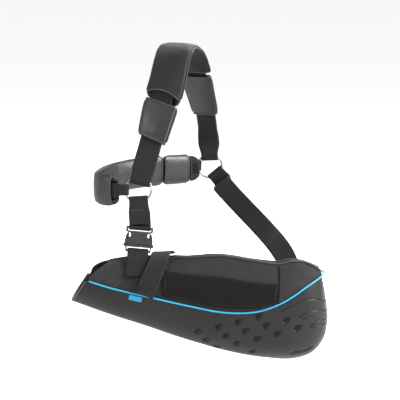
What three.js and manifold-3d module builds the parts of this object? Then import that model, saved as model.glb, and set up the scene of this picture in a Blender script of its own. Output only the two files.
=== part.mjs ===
// Arm sling with a moulded forearm trough, a padded shoulder strap and a padded underarm strap.
// Millimetres, +Z up, +Y towards the wearer's back, +X from the hand to the elbow.
// It is drawn in a worn frame whose zero lies between the straps; the exported group moves the
// pad's resting face, on top of the shoulder, to the origin.
import * as THREE from "three";
import { mergeVertices } from "three/addons/utils/BufferGeometryUtils.js";
import Module from "manifold-3d";

const wasm = await Module();
wasm.setup();

// ---- Driving dimensions ----
const GAP = 0.3; // clearance between touching pieces
const WEBBING = { wide: 38, narrow: 36, small: 18, thick: 2 };
const GATHERED = { shoulder: [34, 30], front: 31, rear: 30 }; // widths where the straps turn in a ring
const LAYER = WEBBING.thick / 2 + 0.5; // a layer's middle, from the middle of a doubled strap
const RING = { middle: 21.75, wire: 1.75 }; // 40 mm inside, 3.5 mm wire
const RING_FRONT = {
  centre: new THREE.Vector3(-102.5, -82, 31.6),
  normal: new THREE.Vector3(-0.1, -0.95, 0.33).normalize(),
};
const RING_REAR = {
  centre: new THREE.Vector3(18, 150, 36),
  normal: new THREE.Vector3(-0.05, -0.99, -0.1).normalize(),
};
const PAD = { width: 64, thick: 14, channelWidth: 45, channelThick: 8.4 };
const SLEEVE = { width: 61, thick: 11.4 };
const AXILLA = { width: 50, thick: 12, channelWidth: 33, channelThick: 7.6 };
const CROWN = new THREE.Vector3(-38, 55, 259); // middle of the strap on top of the shoulder
const TROUGH_Y = -100; // the trough's middle plane
const SHELL = 6; // moulded foam
const PANEL = 4; // spacer mesh
const LINER = 3;
const BUCKLE_TOP = new THREE.Vector3(-102, -104, -55); // middle of the buckle's mouth
const BUCKLE_TILT = 0.088; // radians: the pull-out line lies on the circle round the elbow pivot

const Y_AXIS = new THREE.Vector3(0, 1, 0);
const vec = (x, y, z) => new THREE.Vector3(x, y, z);

const BUCKLE = { thick: 9.4, mouthHalf: 20.5, cavity: 5.4, barTop: 28.2, barBottom: -14 };

// ---- Solids from grids of points ----

// A closed geometry facing out, from points and index triples.
function closed(points, faces) {
  const volume = faces.reduce(
    (sum, [a, b, c]) => sum + points[a].dot(vec(0, 0, 0).crossVectors(points[b], points[c])),
    0,
  );
  const geometry = new THREE.BufferGeometry().setFromPoints(points);
  geometry.setIndex(faces.flatMap(([a, b, c]) => (volume > 0 ? [a, b, c] : [a, c, b])));
  geometry.computeVertexNormals();
  return geometry;
}

// Two triangles for each cell of a grid that starts at point `first`.
function cells(rows, columns, first, wrap, flip) {
  const faces = [];
  const last = wrap ? columns : columns - 1;
  for (let i = 0; i < rows - 1; i++) {
    for (let j = 0; j < last; j++) {
      const k = (j + 1) % columns;
      const [a, b] = [first + i * columns + j, first + i * columns + k];
      const [c, d] = [a + columns, b + columns];
      faces.push(...(flip ? [[a, b, d], [a, d, c]] : [[a, d, b], [a, c, d]]));
    }
  }
  return faces;
}

// A sheet with thickness: an outer and an inner grid, closed along all four edges.
function sheet(outer, inner) {
  const [rows, columns] = [outer.length, outer[0].length];
  const n = rows * columns;
  const faces = [...cells(rows, columns, 0, false, false), ...cells(rows, columns, n, false, true)];
  const edge = (p, q) => faces.push([q, p, p + n], [q, p + n, q + n]);
  for (let i = 0; i < rows - 1; i++) {
    edge(i * columns, (i + 1) * columns);
    edge((i + 2) * columns - 1, (i + 1) * columns - 1);
  }
  for (let j = 0; j < columns - 1; j++) {
    edge(j + 1, j);
    edge((rows - 1) * columns + j, (rows - 1) * columns + j + 1);
  }
  return closed([...outer.flat(), ...inner.flat()], faces);
}

// A sleeve: two tubes, one in the other, joined at both ends.
function sleeve(outer, inner) {
  const [rows, columns] = [outer.length, outer[0].length];
  const n = rows * columns;
  const faces = [...cells(rows, columns, 0, true, false), ...cells(rows, columns, n, true, true)];
  for (let j = 0; j < columns; j++) {
    const k = (j + 1) % columns;
    const end = (rows - 1) * columns;
    faces.push([j, k, k + n], [j, k + n, j + n]);
    faces.push([end + k, end + j, end + j + n], [end + k, end + j + n, end + k + n]);
  }
  return closed([...outer.flat(), ...inner.flat()], faces);
}

// A bar: rings of points with a fan over each end.
function bar(rings) {
  const [rows, columns] = [rings.length, rings[0].length];
  const faces = cells(rows, columns, 0, true, false);
  for (let j = 1; j < columns - 1; j++) {
    const end = (rows - 1) * columns;
    faces.push([0, j, j + 1], [end, end + j + 1, end + j]);
  }
  return closed(rings.flat(), faces);
}

// ---- Booleans ----

function solid(geometry) {
  const bare = new THREE.BufferGeometry();
  bare.setAttribute("position", geometry.getAttribute("position"));
  if (geometry.index) bare.setIndex(geometry.index);
  const merged = mergeVertices(bare, 1e-4);
  return new wasm.Manifold(
    new wasm.Mesh({
      numProp: 3,
      vertProperties: new Float32Array(merged.attributes.position.array),
      triVerts: new Uint32Array(merged.index.array),
    }),
  );
}

function geometryOf(manifold) {
  const mesh = manifold.getMesh();
  const geometry = new THREE.BufferGeometry();
  geometry.setAttribute("position", new THREE.BufferAttribute(mesh.vertProperties, 3));
  geometry.setIndex(new THREE.BufferAttribute(mesh.triVerts, 1));
  geometry.computeVertexNormals();
  return geometry;
}

function block(x0, x1, y0, y1, z0, z1) {
  const box = new THREE.BoxGeometry(x1 - x0, y1 - y0, z1 - z0);
  return box.translate((x0 + x1) / 2, (y0 + y1) / 2, (z0 + z1) / 2);
}

const cut = (geometry, ...tools) =>
  geometryOf(tools.reduce((left, tool) => left.subtract(solid(tool)), solid(geometry)));

const joined = (geometry, ...others) =>
  geometryOf(others.reduce((left, other) => left.add(solid(other)), solid(geometry)));

// A plate lying in XZ: an outline of [x, z] corners, with thickness along Y.
function plate(outline, thick) {
  const shape = new THREE.Shape(outline.map(([x, z]) => new THREE.Vector2(x, z)));
  const made = new THREE.ExtrudeGeometry(shape, { depth: thick, bevelEnabled: false });
  return made.translate(0, 0, -thick / 2).rotateX(Math.PI / 2);
}

const mirrored = (outline) => [...outline, ...outline.map(([x, z]) => [-x, z]).reverse()];

// ---- Straps ----

// A route: points with the direction of the strap's width at each.
class Route {
  constructor(stations) {
    this.curve = new THREE.CatmullRomCurve3(stations.map(([p]) => p), false, "centripetal");
    this.widths = new THREE.CatmullRomCurve3(stations.map(([, w]) => w));
    this.curve.arcLengthDivisions = 600;
    this.length = this.curve.getLength();
  }

  // Position, direction, width direction and face direction at a distance along the route.
  at(distance) {
    const u = THREE.MathUtils.clamp(distance / this.length, 0, 1);
    const t = this.curve.getUtoTmapping(u);
    const along = this.curve.getTangent(t);
    const across = this.widths.getPoint(t);
    across.addScaledVector(along, -across.dot(along)).normalize();
    const face = vec(0, 0, 0).crossVectors(along, across);
    return { point: this.curve.getPoint(t), along, across, face };
  }

  stops(from, to, count) {
    return Array.from({ length: count }, (_, i) => this.at(from + ((to - from) * i) / (count - 1)));
  }
}

const offset = (stop, across, face) =>
  stop.point.clone().addScaledVector(stop.across, across).addScaledVector(stop.face, face);

// A flat strap: `widthAt` gives its width at each share of its length.
function strap(stops, widthAt, thick, lift = 0) {
  const side = (height) =>
    stops.map((stop, i) => {
      const half = widthAt(i / (stops.length - 1)) / 2;
      return [offset(stop, -half, height), offset(stop, half, height)];
    });
  return sheet(side(lift + thick / 2), side(lift - thick / 2));
}

// A flattened tube round a route: 12 corners, with full sides and thinner edges.
function paddedTube(stops, outer, inner) {
  const ring = (stop, width, thick) =>
    Array.from({ length: 12 }, (_, i) => {
      const angle = ((i + 0.5) * Math.PI) / 6;
      const [c, s] = [Math.cos(angle), Math.sin(angle)];
      const across = Math.sign(c) * Math.pow(Math.abs(c), 0.45) * (width / 2);
      return offset(stop, across, Math.sign(s) * Math.pow(Math.abs(s), 0.6) * (thick / 2));
    });
  return sleeve(
    stops.map((stop) => ring(stop, outer[0], outer[1])),
    stops.map((stop) => ring(stop, inner[0], inner[1])),
  );
}

// How far from a ring's middle a strap of this width rests in it.
const seat = (width) =>
  Math.sqrt((RING.middle - RING.wire - 0.5) ** 2 - (width / 2) ** 2) - WEBBING.thick / 2;

// The doubled end of a strap that is looped through a ring: from one layer, round, to the other.
// `towards` is where the strap goes; in the loop it lies in the ring's own plane, and its layers
// close up beyond the ring's wire. The loop starts on the side of the ring's normal that `start`
// gives, and its width points the way `facing` does.
function loopStations({ centre, normal }, towards, facing, width, start, reach) {
  const away = towards.clone().sub(centre).projectOnPlane(normal).normalize();
  const across = vec(0, 0, 0).crossVectors(normal, away);
  across.multiplyScalar(Math.sign(across.dot(facing)));
  const open = RING.wire + 0.6 + WEBBING.thick / 2;
  const place = (distance, side) => [
    centre.clone().addScaledVector(away, distance).addScaledVector(normal, start * side),
    across,
  ];
  const low = seat(width) + open;
  const leg = [
    [reach, LAYER + 0.9],
    [RING.middle + 9, open * 0.75],
    [RING.middle + 2, open],
    [low, open],
  ];
  return [
    ...leg.map(([distance, side]) => place(distance, side)),
    ...[1, 2, 3].map((k) => {
      const angle = (k * Math.PI) / 4;
      return place(low - open * Math.sin(angle), open * Math.cos(angle));
    }),
    ...leg.reverse().map(([distance, side]) => place(distance, -side)),
  ];
}

// How wide a strap is along its route: it gathers to a narrower width where it turns round a ring.
function widthAlong(route, wide, ...turns) {
  const places = turns.map(([{ centre }, tight]) => {
    const reach = (distance) => route.at(distance).point.distanceTo(centre);
    return [steps(0, route.length, 2).reduce((best, d) => (reach(d) < reach(best) ? d : best)), tight];
  });
  return (share) =>
    Math.min(
      ...places.map(([turn, tight]) => {
        const beyond = Math.max(0, Math.abs(share * route.length - turn) - 16);
        return tight + (wide - tight) * Math.min(1, beyond / 16);
      }),
    );
}

// Distances at even steps from one end of a stretch to the other.
function steps(from, to, size) {
  const count = Math.max(1, Math.round((to - from) / size));
  return Array.from({ length: count + 1 }, (_, i) => from + ((to - from) * i) / count);
}

// ---- The shoulder strap and its pads ----

const FRONT_ACROSS = vec(0.96, -0.27, -0.1);
const CROWN_ACROSS = vec(0.91, -0.42, 0);
const REAR_ACROSS = vec(0.85, -0.53, 0.02);

const shoulderRoute = new Route([
  [RING_FRONT.centre, FRONT_ACROSS],
  [vec(-90.5, -64, 76.5), FRONT_ACROSS],
  [vec(-78.5, -46, 121), FRONT_ACROSS],
  [vec(-66.5, -29, 165.5), FRONT_ACROSS],
  [vec(-55, -13, 208), vec(0.94, -0.34, -0.05)],
  [vec(-47, 12, 244), CROWN_ACROSS],
  [CROWN, CROWN_ACROSS],
  [vec(-22, 92, 247), CROWN_ACROSS],
  [vec(-9, 110, 215), REAR_ACROSS],
  [vec(-2, 119, 185), REAR_ACROSS],
  [vec(9, 131, 140), REAR_ACROSS],
  [vec(14.5, 139, 100), REAR_ACROSS],
  [vec(17, 145.5, 68), REAR_ACROSS],
  [RING_REAR.centre, REAR_ACROSS],
]);

// A station of a layer of strap that lies beside a route.
const layered = (route, distance, side) => {
  const stop = route.at(distance);
  return [offset(stop, 0, side), stop.across];
};

// The webbing runs from a tail inside the front sleeve, through the front ring, over the shoulder,
// and through the rear ring to its other tail.
function shoulderWebbing() {
  const end = shoulderRoute.length;
  const [frontTail, rearTail, reach, along] = [106, 114, 44, 74];
  const loop = (ring, distance, width, start) => {
    const stop = shoulderRoute.at(distance);
    return loopStations(ring, stop.point, stop.across, width, start, reach);
  };
  const front = loop(RING_FRONT, 60, GATHERED.shoulder[0], -1);
  const rear = loop(RING_REAR, end - 60, GATHERED.shoulder[1], 1);
  return new Route([
    ...steps(along, frontTail, 13).reverse().map((d) => layered(shoulderRoute, d, LAYER)),
    ...front,
    ...steps(along, end - along, 14).map((d) => layered(shoulderRoute, d, -LAYER)),
    ...rear.reverse(),
    ...steps(end - rearTail, end - along, 13).reverse().map((d) => layered(shoulderRoute, d, LAYER)),
  ]);
}

const webbingRoute = shoulderWebbing();

// ---- The underarm strap and its pads ----

const UP = vec(0, 0, 1);
const axillaRoute = new Route([
  [RING_FRONT.centre, vec(-0.2, 0, 1)],
  [vec(-124, -77, 29), vec(-0.2, 0, 1)],
  [vec(-146, -68, 28), vec(-0.08, 0, 1)],
  [vec(-166, -55, 28), UP],
  [vec(-175, -36, 29.5), UP],
  [vec(-169, -8, 31.5), UP],
  [vec(-154, 22, 33.5), UP],
  [vec(-129, 50, 35.5), UP],
  [vec(-90, 82, 37), UP],
  [vec(-40, 114, 36), UP],
  [vec(-12, 132, 35), vec(-0.1, 0, 1)],
  [RING_REAR.centre, vec(-0.14, 0, 1)],
]);

function underarmWebbing() {
  const end = axillaRoute.length;
  const [reach, along] = [34, 46];
  const loop = (ring, distance, start) =>
    loopStations(ring, axillaRoute.at(distance).point, UP, WEBBING.small, start, reach);
  const front = loop(RING_FRONT, 40, -1);
  const rear = loop(RING_REAR, end - 40, 1);
  return new Route([
    ...front,
    ...steps(along, end - along, 14).map((d) => layered(axillaRoute, d, -LAYER)),
    ...rear.reverse(),
  ]);
}

// ---- The front strap, from the front ring to the buckle ----

const BUCKLE_UP = vec(Math.sin(BUCKLE_TILT), 0, Math.cos(BUCKLE_TILT));
const FRONT_STRAP_ACROSS = vec(Math.cos(BUCKLE_TILT), 0, -Math.sin(BUCKLE_TILT));

// A point beside the buckle: height above its mouth, and distance towards the body.
const besideBuckle = (height, back) => [
  BUCKLE_TOP.clone().addScaledVector(BUCKLE_UP, height).add(vec(0, back, 0)),
  FRONT_STRAP_ACROSS,
];

// Round a buckle's bar, from the near side to the body side.
const roundBar = (middle, sign, spread) =>
  [
    [3.2 * sign, -spread],
    [-0.4 * sign, -spread],
    [-2.9 * sign, -spread * 0.72],
    [-3.5 * sign, 0],
    [-2.9 * sign, spread * 0.72],
    [-0.4 * sign, spread],
    [3.2 * sign, spread],
  ].map(([height, back]) => besideBuckle(middle + height, back));

// The strap comes down from the ring on its body side, and turns round the bar to the near side.
function frontStrap() {
  const bar = besideBuckle(BUCKLE.barTop - 1.5, 0)[0];
  const loop = loopStations(RING_FRONT, bar, FRONT_STRAP_ACROSS, GATHERED.front, 1, 34);
  const turn = roundBar(BUCKLE.barTop - 1.5, 1, 3.9);
  return new Route([...loop, ...turn.reverse()]);
}

// Its free end, with the hook patch, is folded up the near side of the strap.
function frontStrapTab() {
  const low = besideBuckle(BUCKLE.barTop + 5, -3.6)[0];
  const bar = besideBuckle(BUCKLE.barTop, 0)[0];
  const high = bar.clone().lerp(RING_FRONT.centre, 0.46).add(vec(0, -2.9, 0));
  const route = new Route([low, low.clone().lerp(high, 0.5), high].map((p) => [p, FRONT_STRAP_ACROSS]));
  return strap(route.stops(0, route.length, 6), () => WEBBING.narrow, 1.6);
}

const frontRoute = frontStrap();

// ---- The rear strap, from the rear ring to the elbow ----

const REAR_TAIL_LIFT = 2.5; // the free end's middle, from the middle of the strap it lies on
const rearRoute = new Route([
  [RING_REAR.centre, vec(0.8, 0.05, 0.6)],
  [vec(37, 128, 10), vec(0.77, 0.15, 0.62)],
  [vec(66, 94, -18), vec(0.76, 0.17, 0.62)],
  [vec(95, 56, -43), vec(0.76, 0.17, 0.6)],
  [vec(120, 18, -62), vec(0.8, 0.15, 0.55)],
  [vec(137, -16, -75), vec(0.88, 0.1, 0.42)],
  [vec(145, -35, -87), vec(0.96, 0.02, 0.22)],
  [vec(149, -45.6, -100), vec(0.98, 0, 0.08)],
  [vec(149.6, -45.5, -107), vec(0.98, 0, 0.05)],
  [vec(150, -42, -116), vec(0.98, 0, 0.05)],
]);

// ---- The trough ----

// Stations from the hand to the back of the elbow: the keel, the piping line (with the trough's
// half width there) and the upper edge of the mesh panels.
const STATIONS = [
  { keel: [-212, -152], rim: [-184, 36, -111], top: [-150, 0.2, -84] },
  { keel: [-151, -175], rim: [-146, 40, -122], top: [-120, 0.2, -79] },
  { keel: [-84, -197], rim: [-82, 46, -136], top: [-76, 6, -77] },
  { keel: [-17, -219.5], rim: [-16, 51, -150], top: [-22, 28, -76] },
  { keel: [50, -238.6], rim: [40, 55, -159.5], top: [35, 32, -73] },
  { keel: [109, -249], rim: [90, 58, -158], top: [88, 36, -80] },
  { keel: [155, -251], rim: [127, 59, -146], top: [128, 38, -85] },
  { keel: [188, -240], rim: [154, 55, -131], top: [155, 35, -81] },
  { keel: [208, -214], rim: [174, 47, -118], top: [176, 28, -85] },
  { keel: [213, -183], rim: [187, 36, -111.5], top: [188, 23, -92.5] },
  { keel: [209.5, -150.5], rim: [196.2, 24, -107.8], top: [196.2, 17, -98.6] },
  { keel: [204, -118.7], rim: [202, 13, -105.2], top: [202, 11, -102.2] },
];
const curveOf = (read) => new THREE.CatmullRomCurve3(STATIONS.map((row) => vec(...read(row))));
const keelCurve = curveOf(({ keel: [x, z] }) => [x, 0, z]);
const rimCurve = curveOf(({ rim }) => rim);
const topCurve = curveOf(({ top }) => top);
const stationShare = (index) => index / (STATIONS.length - 1);

// A point on the shell: u along the trough, t from the keel (0) to the piping line (1).
function shellPoint(u, t, side, depth) {
  const [keel, rim] = [keelCurve.getPoint(u), rimCurve.getPoint(u)];
  const down = vec(keel.x - rim.x, 0, keel.z - rim.z);
  const drop = down.length();
  const flat = Math.pow(Math.cos((t * Math.PI) / 2), 0.85) * (drop - depth);
  const half = Math.pow(Math.sin((t * Math.PI) / 2), 0.85) * (rim.y - depth);
  const point = vec(rim.x, TROUGH_Y + side * half, rim.z);
  return point.addScaledVector(down.normalize(), t === 1 ? 0 : flat);
}

// A point on a mesh panel: t from the piping line (0) to the upper edge (1).
function panelPoint(u, t, side, depth) {
  const [rim, top] = [rimCurve.getPoint(u), topCurve.getPoint(u)];
  const lower = side > 0 ? Math.min(12.5, Math.max(0, (top.y - 1) * 0.35), (top.z - rim.z) * 0.3) : 0;
  const rise = top.z - lower - rim.z;
  const start = vec(rim.x, rim.y, rim.z + GAP);
  const end = vec(top.x, Math.max(top.y, depth ? 0.2 : 0), top.z - lower);
  const swell = vec(start.x, start.y + 2, start.z + rise * 0.5);
  const lean = vec(end.x, end.y + (start.y - end.y) * 0.45, end.z - rise * (top.y < 12 ? 0.04 : 0.22));
  const at = new THREE.CubicBezierCurve3(start, swell, lean, end).getPoint(t);
  const closing = u < 0.4 ? Math.max(0, 1 - top.y / 16) * t : 0;
  const inward = depth * (1 - closing);
  return vec(at.x, TROUGH_Y + side * Math.max(at.y - inward, 0.2), at.z - depth * closing);
}

const grid = (rows, columns, point) =>
  Array.from({ length: rows }, (_, i) =>
    Array.from({ length: columns }, (_, j) => point(i / (rows - 1), j / (columns - 1))),
  );
const between = (low, high, share) => low + (high - low) * share;

function shellHalf(side) {
  const seam = 0.02; // leaves the keel seam open by about the gap
  const at = (depth) =>
    grid(27, 9, (u, t) => {
      const point = shellPoint(u, between(0, 1, t), side, depth);
      if (t === 0) point.y = TROUGH_Y + side * (GAP / 2 + seam);
      return point;
    });
  return sheet(at(0), at(SHELL));
}

function meshPanel(side) {
  const at = (depth) => grid(27, 7, (u, t) => panelPoint(u, t, side, depth));
  return sheet(at(0), at(PANEL));
}

// A round or oval bead along a line of points, `half` wide and high.
function bead(points, halfWide, halfHigh, sides = 6) {
  const curve = new THREE.CatmullRomCurve3(points);
  const rings = points.map((point, i) => {
    const along = curve.getTangent(i / (points.length - 1));
    const across = vec(0, 0, 0).crossVectors(along, UP).normalize();
    const up = vec(0, 0, 0).crossVectors(across, along);
    return Array.from({ length: sides }, (_, k) => {
      const angle = (k * 2 * Math.PI) / sides;
      return point
        .clone()
        .addScaledVector(across, halfWide * Math.cos(angle))
        .addScaledVector(up, halfHigh * Math.sin(angle));
    });
  });
  return bar(rings);
}

const PIPING_RADIUS = 1.7;
function piping() {
  const side = (sign) =>
    Array.from({ length: 26 }, (_, i) => {
      const u = between(0.004, 0.992, i / 25);
      const rim = rimCurve.getPoint(u);
      const ahead = rimCurve.getTangent(u);
      const out = vec(ahead.y, 0, 0).set(-ahead.y, ahead.x, 0).normalize();
      const reach = PIPING_RADIUS + GAP + 0.35;
      return vec(rim.x + out.x * reach, TROUGH_Y + sign * (rim.y + out.y * reach), rim.z + 0.1);
    });
  const near = side(-1);
  const far = side(1).reverse();
  const last = near[near.length - 1];
  const back = [-0.55, 0, 0.55].map((share) =>
    vec(last.x + 4 - Math.abs(share) * 3, TROUGH_Y + share * 12, last.z + 0.4),
  );
  return bead([...near, ...back, ...far], PIPING_RADIUS, PIPING_RADIUS);
}

function panelHem(side) {
  const points = Array.from({ length: 24 }, (_, i) => {
    const u = between(stationShare(2.62), stationShare(10.3), i / 23);
    const edge = panelPoint(u, 1, side, 0);
    return vec(edge.x, edge.y - side * PANEL * 0.5, edge.z + 2.6);
  });
  return bead(points, 2.6, 1.9);
}

function liner() {
  const span = (depth) =>
    grid(20, 15, (u, v) => {
      const across = 2 * v - 1;
      const along = between(0.03, 0.9, u);
      const side = across < 0 ? -1 : 1;
      return shellPoint(along, Math.abs(across) * 0.93, side, depth);
    });
  return sheet(span(SHELL + 1), span(SHELL + 1 + LINER));
}

// A band that stiffens the shell's open end, in front of its cut edge.
function endBinding() {
  const rings = grid(17, 2, (v, depth) => {
    const across = 2 * v - 1;
    return shellPoint(0, Math.abs(across) * 0.97, across < 0 ? -1 : 1, depth * (SHELL + 1) - 0.5);
  });
  const ahead = vec(-0.83, 0, -0.1);
  const moved = (distance) => rings.map((row) => row.map((p) => p.clone().addScaledVector(ahead, distance)));
  return sheet(moved(GAP + 0.6), moved(GAP + 4.2));
}

const LOOP_STRIP = { from: 2.3, to: 5.95, thick: 1.4 };
function loopStrip() {
  const at = (lift) =>
    grid(16, 5, (u, t) => {
      const along = stationShare(between(LOOP_STRIP.from, LOOP_STRIP.to, u));
      return panelPoint(along, between(0.06, between(0.64, 0.47, u), t), -1, -lift);
    });
  return sheet(at(GAP + 0.1 + LOOP_STRIP.thick), at(GAP + 0.1));
}

// ---- The closure strap over the wrist ----

const CLOSURE = { width: 31, thick: 2 };
const closureHinge = vec(-56, TROUGH_Y + 27, -79);
const closureRoute = new Route(
  [
    [closureHinge, 0.99, 0.05],
    [vec(-60, TROUGH_Y + 12, -72), 0.98, 0.05],
    [vec(-65, TROUGH_Y - 8, -71.5), 0.98, 0],
    [vec(-68, TROUGH_Y - 26, -78.5), 0.97, -0.06],
    [vec(-75, TROUGH_Y - 42, -94), 0.95, -0.24],
    [vec(-84, TROUGH_Y - 51.5, -114), 0.92, -0.3],
    [vec(-91.5, TROUGH_Y - 52.5, -132), 0.92, -0.3],
  ].map(([point, x, z]) => [point, vec(x, 0, z)]),
);

// The part of the strap that is sewn flat to the far panel, below the fold.
function closureAnchor() {
  const route = new Route(
    [
      vec(-55, TROUGH_Y + 34.5, -84),
      vec(-54, TROUGH_Y + 49, -100),
      vec(-53, TROUGH_Y + 54.5, -118),
      vec(-52, TROUGH_Y + 54.5, -134),
    ].map((point) => [point, vec(1, 0, 0.02)]),
  );
  return strap(route.stops(0, route.length, 8), () => CLOSURE.width, CLOSURE.thick);
}

// ---- The buckle, in its own frame: z = 0 at the mouth, +z towards the ring ----

function buckleFemale() {
  const outline = mirrored([
    [23, 0],
    [23.4, 4],
    [22.4, 8],
    [15, 9.4],
    [13.8, 12],
    [13.8, 16],
    [15.5, 18.6],
    [21.4, 19.8],
    [22.4, 21.6],
    [22.4, 26.6],
    [21.4, BUCKLE.barTop],
  ]);
  const body = plate(outline, BUCKLE.thick);
  const half = BUCKLE.mouthHalf;
  const cavity = block(-half, half, -BUCKLE.cavity / 2, BUCKLE.cavity / 2, -1, 18);
  const slot = block(-19, 19, -10, 10, 20.3, BUCKLE.barTop - 3);
  const recess = (y0, y1) => block(-19, 19, y0, y1, 24, 40);
  return cut(body, cavity, slot, recess(2.5, 10), recess(-10, -2.5));
}

function buckleMaleBase() {
  const outline = mirrored([
    [24, -1],
    [25.2, -2.4],
    [25, -4.4],
    [21.6, -5.6],
    [21, -13],
    [20, BUCKLE.barBottom],
  ]);
  const slot = block(-19, 19, -10, 10, BUCKLE.barBottom + 3, -5.6);
  const recess = (y0, y1) => block(-19, 19, y0, y1, -30, -10);
  const tongue = block(-9, 9, -1.7, 1.7, -2, 16);
  const base = cut(plate(outline, BUCKLE.thick - 1), slot, recess(2.2, 10), recess(-10, -2.2));
  return joined(base, tongue);
}

function prong(side) {
  const outline = [
    [14.6, -0.7],
    [19.4, -0.7],
    [19.7, 8.3],
    [21.8, 8.7],
    [22.2, 11],
    [20.8, 15],
    [18.6, 18],
    [16.8, 18],
    [16.6, 12],
    [16.4, 6],
  ].map(([x, z]) => [side * x, z]);
  return plate(side > 0 ? outline : outline.reverse(), 4.4);
}

// A place on a mesh panel, raised along its normal, with the direction along the trough there.
function onPanel(u, t, side, lift) {
  const across = panelPoint(u + 0.005, t, side, 0).sub(panelPoint(u - 0.005, t, side, 0)).normalize();
  const up = panelPoint(u, t + 0.02, side, 0).sub(panelPoint(u, t - 0.02, side, 0));
  const normal = vec(0, 0, 0).crossVectors(across, up).normalize().multiplyScalar(-side);
  return [panelPoint(u, t, side, 0).addScaledVector(normal, lift), across];
}

// The short strap that holds the buckle's male half: up the near panel, round the male half's bar
// and down again over itself. Towards the bar it leaves the panel and turns square to the buckle.
function anchorStrap() {
  const [bar, square] = besideBuckle(BUCKLE.barBottom + 1.5, 0);
  const layer = (t, lift) => {
    const u = stationShare(1.45 + 0.36 * (0.8 - t));
    const leaving = Math.max(0, (t - 0.42) / 0.38);
    const [point, across] = onPanel(u, t, -1, lift + 3 * leaving ** 1.5);
    return [point, across.lerp(square, Math.min(1, leaving * 0.9)).normalize()];
  };
  const under = [0.4, 0.49, 0.58, 0.67, 0.76].map((t) => layer(t, 1.4));
  const over = [0.35, 0.44, 0.53, 0.62, 0.71].map((t) => layer(t, 4));
  const arriving = vec(0, 0.72, 0.69);
  const side = vec(0, -0.69, 0.72);
  const turn = [
    [-6, -1.8],
    [-2.4, -3.4],
    [0.2, -3.8],
    [2.8, -2.7],
    [3.8, 0],
    [2.8, 2.7],
    [0.2, 3.8],
    [-2.4, 3.7],
    [-6.5, 3.2],
  ].map(([a, b]) => [bar.clone().addScaledVector(arriving, a).addScaledVector(side, b), square]);
  const route = new Route([...under, ...turn, ...over.reverse()]);
  return strap(route.stops(0, route.length, 66), () => 34, 1.6);
}

// ---- The assembly ----

const COLOURS = {
  webbing: [0x1b1b1c, 0.92, 0],
  pad_fabric: [0x232324, 0.9, 0],
  pad_smooth: [0x3a3a3b, 0.62, 0],
  shell_foam: [0x333334, 0.66, 0],
  mesh: [0x1f1f20, 0.95, 0],
  hook_loop: [0x161617, 0.98, 0],
  piping_blue: [0x1fa5d8, 0.55, 0],
  label_blue: [0x0e96cf, 0.6, 0],
  binding: [0x4a4a4b, 0.75, 0],
  buckle_plastic: [0x202021, 0.42, 0],
  ring_metal: [0x6f6f6c, 0.3, 1],
};
const MATERIALS = Object.fromEntries(
  Object.entries(COLOURS).map(([name, [color, roughness, metalness]]) => [
    name,
    new THREE.MeshStandardMaterial({ name, color, roughness, metalness }),
  ]),
);

const sling = new THREE.Group();
sling.position.set(-CROWN.x, -CROWN.y, -(CROWN.z - PAD.thick / 2));

function add(name, material, geometry, parent = sling) {
  const mesh = new THREE.Mesh(geometry, MATERIALS[material]);
  mesh.name = name;
  parent.add(mesh);
  return mesh;
}

function addShoulderStrap() {
  const tube = (from, to, count, outer) =>
    paddedTube(shoulderRoute.stops(from, to, count), outer, [PAD.channelWidth, PAD.channelThick]);
  const webbing = webbingRoute.stops(0, webbingRoute.length, 130);
  const width = widthAlong(
    webbingRoute,
    WEBBING.wide,
    [RING_FRONT, GATHERED.shoulder[0]],
    [RING_REAR, GATHERED.shoulder[1]],
  );
  add("shoulder_webbing", "webbing", strap(webbing, width, WEBBING.thick));
  add("shoulder_pad", "pad_fabric", tube(163, 373, 22, [PAD.width, PAD.thick]));
  add("front_pad_sleeve", "pad_smooth", tube(90, 154, 5, [SLEEVE.width, SLEEVE.thick]));
  add("rear_pad_sleeve", "pad_smooth", tube(383, 455, 7, [SLEEVE.width, SLEEVE.thick]));
}

function addRing(name, { centre, normal }) {
  const mesh = add(name, "ring_metal", new THREE.TorusGeometry(RING.middle, RING.wire, 8, 36));
  mesh.position.copy(centre);
  mesh.quaternion.setFromUnitVectors(UP, normal);
}

function addUnderarmStrap() {
  const tube = (from, to, count) =>
    paddedTube(
      axillaRoute.stops(from, to, count),
      [AXILLA.width, AXILLA.thick],
      [AXILLA.channelWidth, AXILLA.channelThick],
    );
  const route = underarmWebbing();
  const width = widthAlong(
    route,
    26,
    [RING_FRONT, WEBBING.small],
    [RING_REAR, WEBBING.small],
  );
  add("underarm_webbing", "webbing", strap(route.stops(0, route.length, 110), width, 2));
  const end = axillaRoute.length;
  add("underarm_pad", "pad_smooth", tube(45, end - 102, 30));
  add("underarm_pad_sleeve", "pad_smooth", tube(end - 96, end - 47, 6));
}

function addFrontStrap() {
  const width = widthAlong(frontRoute, WEBBING.narrow, [RING_FRONT, GATHERED.front]);
  const stops = frontRoute.stops(0, frontRoute.length, 60);
  add("front_strap", "webbing", strap(stops, width, WEBBING.thick));
  add("front_strap_tab", "hook_loop", frontStrapTab());
}

function addRearStrap() {
  const ahead = rearRoute.at(40);
  const loop = loopStations(RING_REAR, ahead.point, ahead.across, GATHERED.rear, -1, 34);
  const along = steps(50, rearRoute.length, 14).map((d) => layered(rearRoute, d, LAYER));
  const route = new Route([...loop, ...along]);
  const width = widthAlong(route, WEBBING.narrow, [RING_REAR, GATHERED.rear]);
  add("rear_strap", "webbing", strap(route.stops(0, route.length, 80), width, WEBBING.thick));
  const tail = route.stops(74, 136, 16);
  add("rear_strap_tail", "webbing", strap(tail, () => WEBBING.narrow, 1.8, -REAR_TAIL_LIFT));
}

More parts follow.
